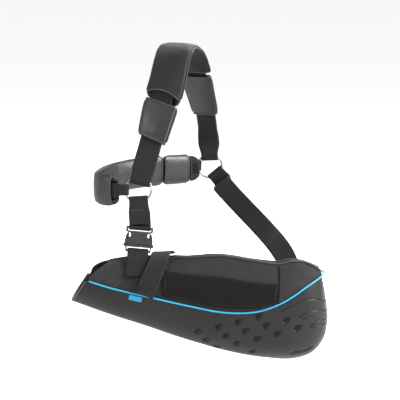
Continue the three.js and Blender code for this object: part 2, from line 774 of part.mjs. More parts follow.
function addTrough() {
  add("shell_near", "shell_foam", shellHalf(-1));
  add("shell_far", "shell_foam", shellHalf(1));
  add("mesh_panel_near", "mesh", meshPanel(-1));
  add("mesh_panel_far", "mesh", meshPanel(1));
  add("liner", "mesh", liner());
  add("piping", "piping_blue", piping());
  add("hem_near", "binding", panelHem(-1));
  add("hem_far", "binding", panelHem(1));
  add("hand_end_binding", "binding", endBinding());
  add("loop_strip", "hook_loop", loopStrip());
  add("anchor_strap", "webbing", anchorStrap());
  add("closure_anchor", "webbing", closureAnchor());
  const label = add("label_tab", "label_blue", new THREE.BoxGeometry(22, 1, 8.6));
  label.position.set(-106, TROUGH_Y - 46.8, -138);
  label.rotation.set(0, 0.235, 0);
  const closure = closureRoute.stops(0, closureRoute.length, 16);
  add("closure_strap", "webbing", strap(closure, () => CLOSURE.width, CLOSURE.thick));
}

function addBuckle() {
  const frame = new THREE.Group();
  frame.position.copy(BUCKLE_TOP);
  frame.rotateOnAxis(Y_AXIS, BUCKLE_TILT);
  sling.add(frame);
  add("buckle_female", "buckle_plastic", buckleFemale(), frame);
  add("buckle_male_base", "buckle_plastic", buckleMaleBase(), frame);
  add("buckle_prong_left", "buckle_plastic", prong(-1), frame);
  add("buckle_prong_right", "buckle_plastic", prong(1), frame);
}

addShoulderStrap();
addRing("ring_front", RING_FRONT);
addRing("ring_rear", RING_REAR);
addUnderarmStrap();
addFrontStrap();
addRearStrap();
addTrough();
addBuckle();

export default sling;
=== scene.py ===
"""Arm sling: fine meshes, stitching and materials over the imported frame.

Shapes are worked out in millimetres in the worn frame of the part's source, and `to_row` moves
them to the row frame in metres.
"""

import math

import bmesh
import bpy
import numpy as np
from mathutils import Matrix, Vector


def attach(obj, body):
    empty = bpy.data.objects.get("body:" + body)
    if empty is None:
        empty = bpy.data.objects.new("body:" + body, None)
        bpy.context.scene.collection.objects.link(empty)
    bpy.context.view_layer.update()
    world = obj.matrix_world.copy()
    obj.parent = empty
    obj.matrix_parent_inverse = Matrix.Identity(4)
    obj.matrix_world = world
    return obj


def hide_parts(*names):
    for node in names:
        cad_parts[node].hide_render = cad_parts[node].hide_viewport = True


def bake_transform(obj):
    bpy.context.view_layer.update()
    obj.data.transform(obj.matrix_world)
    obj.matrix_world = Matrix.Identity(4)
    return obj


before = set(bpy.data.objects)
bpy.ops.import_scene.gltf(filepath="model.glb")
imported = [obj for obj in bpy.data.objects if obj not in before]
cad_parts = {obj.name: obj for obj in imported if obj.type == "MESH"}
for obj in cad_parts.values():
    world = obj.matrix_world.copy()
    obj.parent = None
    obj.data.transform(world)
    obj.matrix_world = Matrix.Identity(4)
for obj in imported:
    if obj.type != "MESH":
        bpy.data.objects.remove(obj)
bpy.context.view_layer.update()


def vec(*xyz):
    return np.array(xyz, float)


def unit(v):
    """A direction, or an array of them, at length 1."""
    return v / np.linalg.norm(v, axis=-1, keepdims=True)


# ---- Dimensions shared with the part's source, in mm ----
GAP = 0.3
WIDE, NARROW, SMALL, WEB = 38.0, 36.0, 18.0, 2.0
LAYER = WEB / 2 + 0.5
RING_RADIUS, WIRE = 21.75, 1.75
FRONT_RING, FRONT_NORMAL = vec(-102.5, -82.0, 31.6), unit(vec(-0.1, -0.95, 0.33))
REAR_RING, REAR_NORMAL = vec(18.0, 150.0, 36.0), unit(vec(-0.05, -0.99, -0.1))
FRONT_NECK, REAR_NECK = 34.0, 30.0  # a strap's width where it turns round each ring
CROWN = vec(-38.0, 55.0, 259.0)
PAD_THICK = 14.0
TROUGH_Y = -100.0
SHELL, PANEL, LINER = 6.0, 4.0, 3.0
BUCKLE_TOP, BUCKLE_TILT = vec(-102.0, -104.0, -55.0), 0.088
BAR_TOP, BAR_BOTTOM = 28.2, -14.0
ORIGIN = CROWN - vec(0, 0, PAD_THICK / 2)
UP = vec(0, 0, 1)
SIDEWAYS = vec(0, 1, 0)
SIDES = ((-1, "near"), (1, "far"))


def to_row(points):
    return (np.asarray(points, float) - ORIGIN) / 1000.0


def run_along(points):
    """Distances along a line of points, or along each row of a grid of them."""
    gaps = np.linalg.norm(np.diff(points, axis=-2), axis=-1)
    return np.concatenate([np.zeros_like(gaps[..., :1]), np.cumsum(gaps, axis=-1)], axis=-1)


def grid(rows, columns, start=0.0, stop=1.0):
    """Two arrays (rows x columns): `start` to `stop` down the rows, and 0 to 1 across."""
    return np.meshgrid(np.linspace(start, stop, rows), np.linspace(0, 1, columns), indexing="ij")


def every(direction, line):
    return np.tile(direction, (len(line), 1))


# ---- Curves ----
class Curve:
    """A centripetal Catmull-Rom curve, the same as the part's source uses."""

    def __init__(self, points):
        self.points = np.array(points, float)

    def at(self, t):
        p, n = self.points, len(self.points)
        t = np.atleast_1d(np.asarray(t, float))
        place = np.clip(t, 0, 1) * (n - 1)
        i = np.minimum(place.astype(int), n - 2)
        w = (place - i)[:, None]
        before = np.vstack([2 * p[0] - p[1], p, 2 * p[-1] - p[-2]])
        p0, p1, p2, p3 = before[i], before[i + 1], before[i + 2], before[i + 3]
        d0 = np.sqrt(np.linalg.norm(p0 - p1, axis=1))[:, None]
        d1 = np.sqrt(np.linalg.norm(p1 - p2, axis=1))[:, None]
        d2 = np.sqrt(np.linalg.norm(p2 - p3, axis=1))[:, None]
        d1 = np.where(d1 < 1e-4, 1.0, d1)
        d0 = np.where(d0 < 1e-4, d1, d0)
        d2 = np.where(d2 < 1e-4, d1, d2)
        t1 = ((p1 - p0) / d0 - (p2 - p0) / (d0 + d1) + (p2 - p1) / d1) * d1
        t2 = ((p2 - p1) / d1 - (p3 - p1) / (d1 + d2) + (p3 - p2) / d2) * d1
        c2 = -3 * p1 + 3 * p2 - 2 * t1 - t2
        c3 = 2 * p1 - 2 * p2 + t1 + t2
        return p1 + t1 * w + c2 * w**2 + c3 * w**3

    def tangent(self, t):
        t = np.atleast_1d(np.asarray(t, float))
        step = self.at(np.minimum(t + 1e-4, 1)) - self.at(np.maximum(t - 1e-4, 0))
        return unit(step)


class Route:
    """Points along a strap, with the direction of its width at each."""

    def __init__(self, stations):
        self.curve = Curve([p for p, _ in stations])
        self.widths = Curve([w for _, w in stations])
        self.shares = np.linspace(0, 1, 1601)
        self.lengths = run_along(self.curve.at(self.shares))
        self.length = self.lengths[-1]

    def stops(self, distances):
        """Positions, directions, width directions and face directions."""
        distances = np.atleast_1d(np.asarray(distances, float))
        t = np.interp(np.clip(distances, 0, self.length), self.lengths, self.shares)
        along = self.curve.tangent(t)
        across = self.widths.at(t)
        across = unit(across - along * (across * along).sum(1)[:, None])
        return self.curve.at(t), along, across, np.cross(along, across)

    def one(self, distance):
        point, along, across, face = self.stops(distance)
        return point[0], along[0], across[0], face[0]


def steps(start, stop, size):
    count = max(1, round((stop - start) / size))
    return [start + (stop - start) * i / count for i in range(count + 1)]


def layered(route, distance, side):
    point, _, across, face = route.one(distance)
    return point + face * side, across


def seat(width):
    return math.sqrt((RING_RADIUS - WIRE - 0.5) ** 2 - (width / 2) ** 2) - WEB / 2


def loop_stations(centre, normal, towards, facing, width, start, reach):
    """The doubled end of a strap that is looped through a ring."""
    away = towards - centre
    away = unit(away - normal * away.dot(normal))
    across = np.cross(normal, away)
    across = across * np.sign(across.dot(facing))
    opening = WIRE + 0.6 + WEB / 2
    low = seat(width) + opening

    def place(distance, side):
        return centre + away * distance + normal * (start * side), across

    leg = [(reach, LAYER + 0.9), (RING_RADIUS + 9, opening * 0.75), (RING_RADIUS + 2, opening)]
    leg.append((low, opening))
    angles = [k * math.pi / 4 for k in (1, 2, 3)]
    turn = [place(low - opening * math.sin(angle), opening * math.cos(angle)) for angle in angles]
    return [place(*x) for x in leg] + turn + [place(d, -s) for d, s in reversed(leg)]


FRONT_ACROSS = vec(0.96, -0.27, -0.1)
CROWN_ACROSS = vec(0.91, -0.42, 0)
REAR_ACROSS = vec(0.85, -0.53, 0.02)
shoulder_route = Route(
    [
        (FRONT_RING, FRONT_ACROSS),
        ((-90.5, -64, 76.5), FRONT_ACROSS),
        ((-78.5, -46, 121), FRONT_ACROSS),
        ((-66.5, -29, 165.5), FRONT_ACROSS),
        ((-55, -13, 208), (0.94, -0.34, -0.05)),
        ((-47, 12, 244), CROWN_ACROSS),
        (CROWN, CROWN_ACROSS),
        ((-22, 92, 247), CROWN_ACROSS),
        ((-9, 110, 215), REAR_ACROSS),
        ((-2, 119, 185), REAR_ACROSS),
        ((9, 131, 140), REAR_ACROSS),
        ((14.5, 139, 100), REAR_ACROSS),
        ((17, 145.5, 68), REAR_ACROSS),
        (REAR_RING, REAR_ACROSS),
    ]
)


def shoulder_webbing_route():
    end = shoulder_route.length
    front_tail, rear_tail, reach, along = 106, 114, 44, 74

    def loop(ring, normal, distance, width, start):
        point, _, across, _ = shoulder_route.one(distance)
        return loop_stations(ring, normal, point, across, width, start, reach)

    front = loop(FRONT_RING, FRONT_NORMAL, 60, FRONT_NECK, -1)
    rear = loop(REAR_RING, REAR_NORMAL, end - 60, REAR_NECK, 1)
    return Route(
        [layered(shoulder_route, d, LAYER) for d in reversed(steps(along, front_tail, 13))]
        + front
        + [layered(shoulder_route, d, -LAYER) for d in steps(along, end - along, 14)]
        + rear[::-1]
        + [layered(shoulder_route, d, LAYER) for d in reversed(steps(end - rear_tail, end - along, 13))]
    )


webbing_route = shoulder_webbing_route()

axilla_route = Route(
    [
        (FRONT_RING, vec(-0.2, 0, 1)),
        ((-124, -77, 29), (-0.2, 0, 1)),
        ((-146, -68, 28), (-0.08, 0, 1)),
        ((-166, -55, 28), UP),
        ((-175, -36, 29.5), UP),
        ((-169, -8, 31.5), UP),
        ((-154, 22, 33.5), UP),
        ((-129, 50, 35.5), UP),
        ((-90, 82, 37), UP),
        ((-40, 114, 36), UP),
        ((-12, 132, 35), (-0.1, 0, 1)),
        (REAR_RING, vec(-0.14, 0, 1)),
    ]
)


def underarm_webbing_route():
    end = axilla_route.length
    reach, along = 34, 46

    def loop(ring, normal, distance, start):
        return loop_stations(ring, normal, axilla_route.one(distance)[0], UP, SMALL, start, reach)

    front = loop(FRONT_RING, FRONT_NORMAL, 40, -1)
    rear = loop(REAR_RING, REAR_NORMAL, end - 40, 1)
    middle = [layered(axilla_route, d, -LAYER) for d in steps(along, end - along, 14)]
    return Route(front + middle + rear[::-1])


BUCKLE_UP = vec(math.sin(BUCKLE_TILT), 0, math.cos(BUCKLE_TILT))
BUCKLE_ACROSS = vec(math.cos(BUCKLE_TILT), 0, -math.sin(BUCKLE_TILT))


def beside_buckle(height, back):
    return BUCKLE_TOP + BUCKLE_UP * height + vec(0, back, 0), BUCKLE_ACROSS


def round_bar(middle, sign, spread):
    path = [(3.2, -1), (-0.4, -1), (-2.9, -0.72), (-3.5, 0), (-2.9, 0.72), (-0.4, 1), (3.2, 1)]
    return [beside_buckle(middle + height * sign, back * spread) for height, back in path]


def front_strap_route():
    bar = beside_buckle(BAR_TOP - 1.5, 0)[0]
    loop = loop_stations(FRONT_RING, FRONT_NORMAL, bar, BUCKLE_ACROSS, 31, 1, 34)
    return Route(loop + round_bar(BAR_TOP - 1.5, 1, 3.9)[::-1])


rear_base = Route(
    [
        (REAR_RING, vec(0.8, 0.05, 0.6)),
        ((37, 128, 10), (0.77, 0.15, 0.62)),
        ((66, 94, -18), (0.76, 0.17, 0.62)),
        ((95, 56, -43), (0.76, 0.17, 0.6)),
        ((117.5, 18, -62), (0.8, 0.15, 0.55)),
        ((132.5, -16, -75), (0.84, 0.1, 0.5)),
        ((142.5, -35, -87), (0.92, 0.02, 0.34)),
        ((149, -45.6, -100), (0.98, 0, 0.08)),
        ((149.6, -45.5, -107), (0.98, 0, 0.05)),
        ((150, -42, -116), (0.98, 0, 0.05)),
    ]
)


def rear_strap_route():
    point, _, across, _ = rear_base.one(40)
    loop = loop_stations(REAR_RING, REAR_NORMAL, point, across, REAR_NECK, -1, 34)
    return Route(loop + [layered(rear_base, d, LAYER) for d in steps(50, rear_base.length, 14)])


# ---- The trough's surfaces ----
KEEL = [(-212, -152), (-151, -175), (-84, -197), (-17, -219.5), (50, -238.6), (109, -249)]
KEEL += [(155, -251), (188, -240), (208, -214), (213, -183), (209.5, -150.5), (204, -118.7)]
RIM = [(-184, 36, -111), (-146, 40, -122), (-82, 46, -136), (-16, 51, -150), (40, 55, -159.5)]
RIM += [(90, 58, -158), (127, 59, -146), (154, 55, -131), (174, 47, -118), (187, 36, -111.5)]
RIM += [(196.2, 24, -107.8), (202, 13, -105.2)]
TOP = [(-150, 0.2, -84), (-120, 0.2, -79), (-76, 6, -77), (-22, 28, -76), (35, 32, -73)]
TOP += [(88, 36, -80), (128, 38, -85), (155, 35, -81), (176, 28, -85), (188, 23, -92.5)]
TOP += [(196.2, 17, -98.6), (202, 11, -102.2)]
keel_curve = Curve([(x, 0, z) for x, z in KEEL])
rim_curve = Curve(RIM)
top_curve = Curve(TOP)
LAST = len(KEEL) - 1


def shell_points(u, t, side, depth):
    """Points on the shell: u along the trough, t from the keel (0) to the piping line (1)."""
    u, t = np.broadcast_arrays(np.asarray(u, float), np.asarray(t, float))
    shape = u.shape
    u, t = u.ravel(), t.ravel()
    keel, rim = keel_curve.at(u), rim_curve.at(u)
    down = keel - rim
    down[:, 1] = 0
    drop = np.linalg.norm(down, axis=1)
    flat = np.clip(np.cos(t * math.pi / 2), 0, 1) ** 0.85 * (drop - depth)
    half = np.sin(t * math.pi / 2) ** 0.85 * (rim[:, 1] - depth)
    out = np.column_stack([rim[:, 0], TROUGH_Y + side * half, rim[:, 2]])
    out = out + down / drop[:, None] * np.where(t >= 1, 0, flat)[:, None]
    return out.reshape(shape + (3,))


def panel_points(u, t, side, depth):
    """Points on a mesh panel: t from the piping line (0) to the upper edge (1)."""
    u, t = np.broadcast_arrays(np.asarray(u, float), np.asarray(t, float))
    shape = u.shape
    u, t = u.ravel(), t.ravel()
    rim, top = rim_curve.at(u), top_curve.at(u)
    height = top[:, 2] - rim[:, 2]
    lower = np.minimum(np.minimum(12.5, np.maximum(0, (top[:, 1] - 1) * 0.35)), height * 0.3)
    lower = lower if side > 0 else lower * 0
    rise = height - lower
    start = np.column_stack([rim[:, 0], rim[:, 1], rim[:, 2] + GAP])
    end_y = np.maximum(top[:, 1], 0.2 if depth else 0)
    end = np.column_stack([top[:, 0], end_y, top[:, 2] - lower])
    swell = start + np.column_stack([0 * rise, 0 * rise + 2, rise * 0.5])
    lean = end.copy()
    lean[:, 1] += (start[:, 1] - end[:, 1]) * 0.45
    lean[:, 2] -= rise * np.where(top[:, 1] < 12, 0.04, 0.22)
    w = t[:, None]
    at = start * (1 - w) ** 3 + 3 * swell * (1 - w) ** 2 * w + 3 * lean * (1 - w) * w**2 + end * w**3
    closing = np.where(u < 0.4, np.maximum(0, 1 - top[:, 1] / 16) * t, 0)
    y = np.maximum(at[:, 1] - depth * (1 - closing), 0.2)
    out = np.column_stack([at[:, 0], TROUGH_Y + side * y, at[:, 2] - depth * closing])
    return out.reshape(shape + (3,))


# ---- Meshes ----
def new_object(name, vertices, faces, material, uvs=None):
    """A smooth mesh object. uvs is one (u, v) per vertex, in millimetres; the layer holds metres."""
    mesh = bpy.data.meshes.new(name)
    mesh.from_pydata(to_row(vertices).tolist(), [], [list(map(int, f)) for f in faces])
    mesh.validate()
    mesh.update()
    if uvs is not None:
        layer = mesh.uv_layers.new(name="UVMap")
        corner = np.empty(len(mesh.loops), np.int32)
        mesh.loops.foreach_get("vertex_index", corner)
        flat = (np.asarray(uvs, float)[corner] / 1000.0).astype(np.float32)
        layer.data.foreach_set("uv", flat.ravel())
    mesh.polygons.foreach_set("use_smooth", [True] * len(mesh.polygons))
    obj = bpy.data.objects.new(name, mesh)
    bpy.context.scene.collection.objects.link(obj)
    obj.data.materials.append(material)
    return obj


def face_out(obj):
    bm = bmesh.new()
    bm.from_mesh(obj.data)
    bmesh.ops.recalc_face_normals(bm, faces=bm.faces)
    bm.to_mesh(obj.data)
    bm.free()
    return obj


def grid_faces(rows, columns, first=0, wrap=False):
    i, j = np.meshgrid(np.arange(rows - 1), np.arange(columns if wrap else columns - 1), indexing="ij")
    k = (j + 1) % columns
    a, b = first + i * columns + j, first + i * columns + k
    return np.stack([a, a + columns, b + columns, b], axis=-1).reshape(-1, 4)


def tube_faces(rows, columns):
    """Faces round a tube, and one over each end."""
    caps = [list(range(columns)), [(rows - 1) * columns + j for j in reversed(range(columns))]]
    return grid_faces(rows, columns, 0, True).tolist() + caps


def tube_object(name, rings, material, uvs):
    """A closed tube from rings of points (rows x columns x 3)."""
    faces = tube_faces(*rings.shape[:2])
    return face_out(new_object(name, rings.reshape(-1, 3), faces, material, uvs.reshape(-1, 2)))


def shell_object(name, outer, inner, material, uvs):
    """A sheet with thickness: an outer and an inner grid, closed round its edges."""
    rows, columns = outer.shape[:2]
    n = rows * columns
    faces = [grid_faces(rows, columns, 0), grid_faces(rows, columns, n)[:, ::-1]]
    i, j = np.arange(rows - 1), np.arange(columns - 1)
    edges = [
        (i * columns, (i + 1) * columns),
        ((i + 2) * columns - 1, (i + 1) * columns - 1),
        (j + 1, j),
        ((rows - 1) * columns + j, (rows - 1) * columns + j + 1),
    ]
    for p, q in edges:
        faces.append(np.stack([p, p + n, q + n, q], axis=-1))
    points = np.concatenate([outer.reshape(-1, 3), inner.reshape(-1, 3)])
    uv = np.concatenate([uvs.reshape(-1, 2)] * 2)
    return face_out(new_object(name, points, np.concatenate(faces).tolist(), material, uv))


def normals_of(points):
    n = np.cross(np.gradient(points, axis=0), np.gradient(points, axis=1))
    return n / np.maximum(np.linalg.norm(n, axis=-1), 1e-9)[..., None]


def smoothstep(a, b, x):
    t = np.clip((x - a) / (b - a), 0, 1)
    return t * t * (3 - 2 * t)


def bump_at(distance, spread):
    """A soft bump, 1 high where distance is 0."""
    return np.exp(-((distance / spread) ** 2))


def ripple(x, seed, scale):
    """A smooth, repeatable wander: a sum of sines with set phases."""
    total = 0
    for k in range(1, 5):
        total = total + math.sin(seed * 12.9898 * k) * np.sin(x / scale * k * 1.7 + seed * k * 4.1) / k
    return total


def width_along(route, wide, *turns):
    """A strap's width, which gathers to `tight` where it turns round each (ring, tight)."""
    distances = np.linspace(0, route.length, 400)
    points = route.stops(distances)[0]
    places = [distances[np.argmin(np.linalg.norm(points - ring, axis=1))] for ring, _ in turns]

    def width(distance):
        each = [
            tight + (wide - tight) * smoothstep(13, 34, np.abs(distance - place))
            for place, (_, tight) in zip(places, turns)
        ]
        return np.min(each, axis=0)

    return width


def web_section():
    """Across a strap: places from -1 to 1 and half thickness shares, round the section."""
    inside = np.linspace(-1, 1, 9)
    inside = np.sign(inside) * np.abs(inside) ** 0.8
    top = [(s * 0.975, 1.0) for s in inside]
    bottom = [(s, -h) for s, h in reversed(top)]
    return np.array(top + [(1.0, 0.45), (1.0, -0.45)] + bottom + [(-1.0, -0.45), (-1.0, 0.45)])


def webbing(name, route, width, material, seed, thick=WEB, span=None, lift=0.0):
    """A woven strap with rounded selvedges that wander a little. `width` may be a function."""
    start, stop = span or (0, route.length)
    distances = np.linspace(start, stop, max(6, int((stop - start) / 2.2)))
    section = web_section()
    widths = width(distances) if callable(width) else np.full(len(distances), float(width))
    flat = np.repeat(distances, len(section))
    sideways, level = np.tile(section, (len(distances), 1)).T
    point, _, across, face = route.stops(flat)
    wander = ripple(flat, seed, 46.0) * 0.22
    half = np.repeat(widths / 2, len(section)) + wander * np.sign(sideways) * (np.abs(sideways) > 0.9)
    ridge = 0.12 * bump_at(np.abs(sideways) - 0.86, 0.07)
    up = lift + level * (thick / 2 + ridge) + ripple(flat, seed + 3, 31.0) * 0.1
    rings = point + across * (sideways * half)[:, None] + face * up[:, None]
    u = sideways * half + np.where(level < 0, 100, 0)
    rings = rings.reshape(len(distances), len(section), 3)
    return tube_object(name, rings, material, np.stack([u, flat], axis=-1))


def threads(name, paths, material, length=2.6, space=1.0, wide=0.55, high=0.28):
    """Sewn stitches: short rounded threads along each path of (points, normals)."""
    vertices, faces = [], []
    sizes, sides = (0.45, 1, 1, 0.45), 6
    for points, normals in paths:
        run = run_along(points)
        count = int(run[-1] / (length + space))
        for k in range(count):
            a = (k + 0.5) * run[-1] / count - length / 2
            spots = a + length * np.array([0, 0.25, 0.75, 1])
            line = np.stack([np.interp(spots, run, points[:, c]) for c in range(3)], axis=1)
            normal = unit(np.array([np.interp(a, run, normals[:, c]) for c in range(3)]))
            side = np.cross(normal, unit(line[3] - line[0]))
            first = len(vertices)
            for centre, size in zip(line, sizes):
                for angle in np.arange(sides) * 2 * math.pi / sides:
                    offset = side * math.cos(angle) * wide / 2 + normal * math.sin(angle) * high
                    vertices.append(centre + offset * size)
            faces += [[first + index for index in reversed(face)] for face in tube_faces(len(sizes), sides)]
    return new_object(name, np.array(vertices), faces, material, np.zeros((len(vertices), 2)))


def bead(name, points, wide, high, material, across=None, closed=False, sides=10, seed=0.0, taper=0.0):
    """A rounded cord or binding along points: an ellipse `wide` by `high` (half sizes)."""
    points = np.asarray(points, float)
    if closed:
        along = np.roll(points, -1, axis=0) - np.roll(points, 1, axis=0)
    else:
        along = np.gradient(points, axis=0)
    along = unit(along)
    if across is None:
        across = np.cross(along, UP)
    across = unit(across - along * (across * along).sum(1)[:, None])
    up = np.cross(across, along)
    run = run_along(points)
    size = 1 + (ripple(run, seed, 9.0) * 0.02 if seed else 0 * run)
    if taper:
        size = size * np.clip(np.minimum(run, run[-1] - run) / taper, 0.12, 1) ** 0.5
    angle = np.arange(sides) * 2 * math.pi / sides
    offsets = across[:, None] * np.cos(angle)[:, None] * wide + up[:, None] * np.sin(angle)[:, None] * high
    rings = points[:, None] + offsets * size[:, None, None]
    around = np.broadcast_to(angle * (wide + high) / 2, rings.shape[:2])
    uv = np.stack([around, np.broadcast_to(run[:, None], rings.shape[:2])], axis=-1)
    if not closed:
        return tube_object(name, rings, material, uv)
    rows, columns = rings.shape[:2]
    faces = grid_faces(rows + 1, columns, 0, True) % (rows * columns)
    return face_out(new_object(name, rings.reshape(-1, 3), faces.tolist(), material, uv.reshape(-1, 2)))


def strap_line(route, places, lift):
    """A line on a strap through (distance, sideways) places, with its normals."""
    places = np.array(places, float)
    run = run_along(places)
    spots = np.linspace(0, run[-1], max(2, int(run[-1] / 1.5)))
    point, _, across, face = route.stops(np.interp(spots, run, places[:, 0]))
    sideways = np.interp(spots, run, places[:, 1])
    return point + across * sideways[:, None] + face * lift, face * np.sign(lift)


def box_stitch(name, route, start, stop, half, lift, cross=True):
    """A sewn rectangle, with or without a cross inside, on a strap's face."""
    corners = [(start, -half), (stop, -half), (stop, half), (start, half)]
    lines = [[corners[k], corners[(k + 1) % 4]] for k in range(4)]
    if cross:
        lines += [[corners[0], corners[2]], [corners[3], corners[1]]]
    return threads(name, [strap_line(route, line, lift) for line in lines], THREAD)


def put(obj, body, node=None):
    """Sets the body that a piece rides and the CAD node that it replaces."""
    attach(obj, body)
    if node:
        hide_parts(node)
    return obj


# ---- Materials ----
class Value:
    """A number that a material's nodes work out, to add, multiply and so on."""

    def __init__(self, graph, socket):
        self.graph = graph
        self.socket = socket

    def apply(self, operation, *others):
        return self.graph.math(operation, self, *others)

    def __add__(self, other):
        return self.apply("ADD", other)

    def __sub__(self, other):
        return self.apply("SUBTRACT", other)

    def __mul__(self, other):
        return self.apply("MULTIPLY", other)

    def per(self, size):
        """Metres as a count of steps of `size` mm."""
        return self * (1000 / size)

    def wave(self):
        """A sine with a period of 1."""
        return (self * (2 * math.pi)).apply("SINE")

    def spread(self, to_low, to_high, low=0.3, high=0.7):
        """Maps low..high to to_low..to_high, held at the ends."""
        span = {"From_Min": low, "From_Max": high, "To_Min": to_low, "To_Max": to_high}
        return self.graph.output("ShaderNodeMapRange", 0, Value=self, **span)


class Graph:
    """Builds one material's nodes."""

    def __init__(self, name):
        self.material = bpy.data.materials.new(name)
        self.material.use_nodes = True
        self.tree = self.material.node_tree
        self.shader = self.tree.nodes["Principled BSDF"]

    def feed(self, socket, value):
        if isinstance(value, Value):
            self.tree.links.new(value.socket, socket)
        else:
            socket.default_value = value

    def node(self, kind, **inputs):
        node = self.tree.nodes.new(kind)
        for key, value in inputs.items():
            self.feed(node.inputs[key.replace("_", " ")], value)
        return node

    def output(self, kind, name, **inputs):
        return Value(self, self.node(kind, **inputs).outputs[name])

    def math(self, operation, *values):
        node = self.tree.nodes.new("ShaderNodeMath")
        node.operation = operation
        for socket, value in zip(node.inputs, values):
            self.feed(socket, value)
        return Value(self, node.outputs[0])

    def uv(self):
        split = self.node("ShaderNodeSeparateXYZ", Vector=self.output("ShaderNodeUVMap", 0))
        return Value(self, split.outputs[0]), Value(self, split.outputs[1])

    def texture(self, kind, name, **inputs):
        return self.output(kind, name, Vector=self.output("ShaderNodeTexCoord", "Object"), **inputs)

    def noise(self, scale, detail=3.0, rough=0.55):
        return self.texture("ShaderNodeTexNoise", "Fac", Scale=scale, Detail=detail, Roughness=rough)

    def attribute(self, name):
        node = self.node("ShaderNodeAttribute")
        node.attribute_name = name
        return Value(self, node.outputs["Fac"])

    def tint(self, value, colours, places=(0.0, 1.0)):
        """The base colour, from a ramp of colours at places from 0 to 1."""
        node = self.node("ShaderNodeValToRGB")
        self.feed(node.inputs[0], value)
        elements = node.color_ramp.elements
        while len(elements) < len(places):
            elements.new(0.5)
        for element, place, colour in zip(elements, places, colours):
            element.position = place
            element.color = (*colour, 1)
        self.tree.links.new(node.outputs[0], self.shader.inputs["Base Color"])

    def bump(self, height, strength, distance):
        node = self.node("ShaderNodeBump", Strength=strength, Distance=distance, Height=height)
        self.tree.links.new(node.outputs[0], self.shader.inputs["Normal"])

    def done(self, **inputs):
        """The material, once the shader's other inputs are set."""
        for key, value in inputs.items():
            self.feed(self.shader.inputs[key.replace("_", " ")], value)
        return self.material


def grey(value, warm=0.0):
    return (value * (1 + warm), value, value * (1 - warm))


def greys(*values):
    return [grey(value) for value in values]


def webbing_material(name, dark, light, rough=0.78, rib=1.9):
    """Nylon webbing: ribs across, in a herringbone."""
    g = Graph(name)
    u, v = g.uv()
    zigzag = u.per(3.2).apply("PINGPONG", 1.0)
    ribs = (v.per(rib) + zigzag * 0.9).wave()
    fuzz = g.noise(900, 4)
    height = ribs * 0.5 + u.per(1.05).wave() * 0.35 + fuzz * 0.7
    g.tint(height.spread(0.0, 0.7, -0.8, 1.2) + g.noise(45).spread(0.0, 0.3), greys(dark, light))
    g.bump(height, 0.55, 0.0004)
    matt = fuzz.spread(rough - 0.08, rough + 0.08)
    return g.done(Roughness=matt, Sheen_Weight=0.03, Sheen_Roughness=0.5, Specular_IOR_Level=0.22)


def mesh_material(name, dark, light, pitch=3.3):
    """Spacer mesh: rows of small round holes, each row shifted by half a hole."""
    g = Graph(name)
    u, v = g.uv()
    rows = v.per(pitch * 0.8)
    shift = rows.apply("FLOOR").apply("MODULO", 2.0) * 0.5
    x = (u.per(pitch) + shift).apply("FRACT") - 0.5
    y = (rows.apply("FRACT") - 0.5) * 0.8
    wall = (x * x + y * y).apply("SQRT").spread(0.0, 1.0, 0.14, 0.34)
    knit = (u + v).per(0.9).wave()
    fuzz = g.noise(700)
    height = wall + knit * wall * 0.12 + fuzz * 0.25
    g.tint(wall * g.noise(60, 2).spread(0.75, 1.0), greys(dark, light))
    g.bump(height, 0.8, 0.0008)
    matt = fuzz.spread(0.75, 0.95)
    return g.done(Roughness=matt, Sheen_Weight=0.03, Sheen_Roughness=0.45, Specular_IOR_Level=0.16)


def skin_material(name, dark, light, rough, grain, sheen, bump, shine=0.3, shade=None):
    """Coated or moulded fabric: fine grain, faint mottling, and `shade`, an attribute that darkens it as
    painted shade in recesses and makes it rougher there.
    """
    g = Graph(name)
    fine = g.noise(grain, 5, 0.62)
    cells = g.texture("ShaderNodeTexVoronoi", "Distance", Scale=grain * 1.6)
    tone = g.noise(14).spread(0.0, 0.6) + fine.spread(0.0, 0.4)
    matt = fine.spread(rough - 0.06, rough + 0.08)
    if shade:
        recess_shade = g.attribute(shade)
        # Painted shade: where the shade attribute is high, the colour ramp drops towards a tenth of `dark`.
        g.tint(tone * 0.7 + 0.3 - recess_shade, greys(dark * 0.1, dark, light), (0.0, 0.3, 1.0))
        matt = matt + recess_shade * 0.4
    else:
        g.tint(tone, greys(dark, light))
    g.bump(fine + cells * 0.6, bump, 0.0004)
    return g.done(Roughness=matt, Sheen_Weight=sheen, Sheen_Roughness=0.4, Specular_IOR_Level=shine)


def knit_material(name, dark, light, rough, pitch, sheen):
    """A fine knitted cover: columns of small stitches."""
    g = Graph(name)
    u, v = g.uv()
    columns = u.per(pitch).wave()
    stitches = (v.per(pitch * 0.8) + columns * 0.25).wave()
    fuzz = g.noise(800, 4)
    height = columns * 0.4 + stitches * 0.3 + fuzz * 0.8
    g.tint(height.spread(0.0, 0.6, -0.5, 1.3) + g.noise(22).spread(0.0, 0.4), greys(dark, light))
    g.bump(height, 0.35, 0.0004)
    matt = fuzz.spread(rough - 0.08, rough + 0.08)
    return g.done(Roughness=matt, Sheen_Weight=sheen, Sheen_Roughness=0.4, Specular_IOR_Level=0.3)


def pile_material(name, dark, light):
    """Brushed loop pile."""
    g = Graph(name)
    height = g.noise(1400, 6, 0.7) * 0.6 + g.noise(260, 4, 0.65)
    g.tint(height.spread(0.0, 1.0, 0.5, 1.1) * g.noise(30).spread(0.7, 1.0), greys(dark, light))
    g.bump(height, 0.9, 0.0009)
    return g.done(Roughness=0.98, Sheen_Weight=0.04, Sheen_Roughness=0.6, Specular_IOR_Level=0.12)


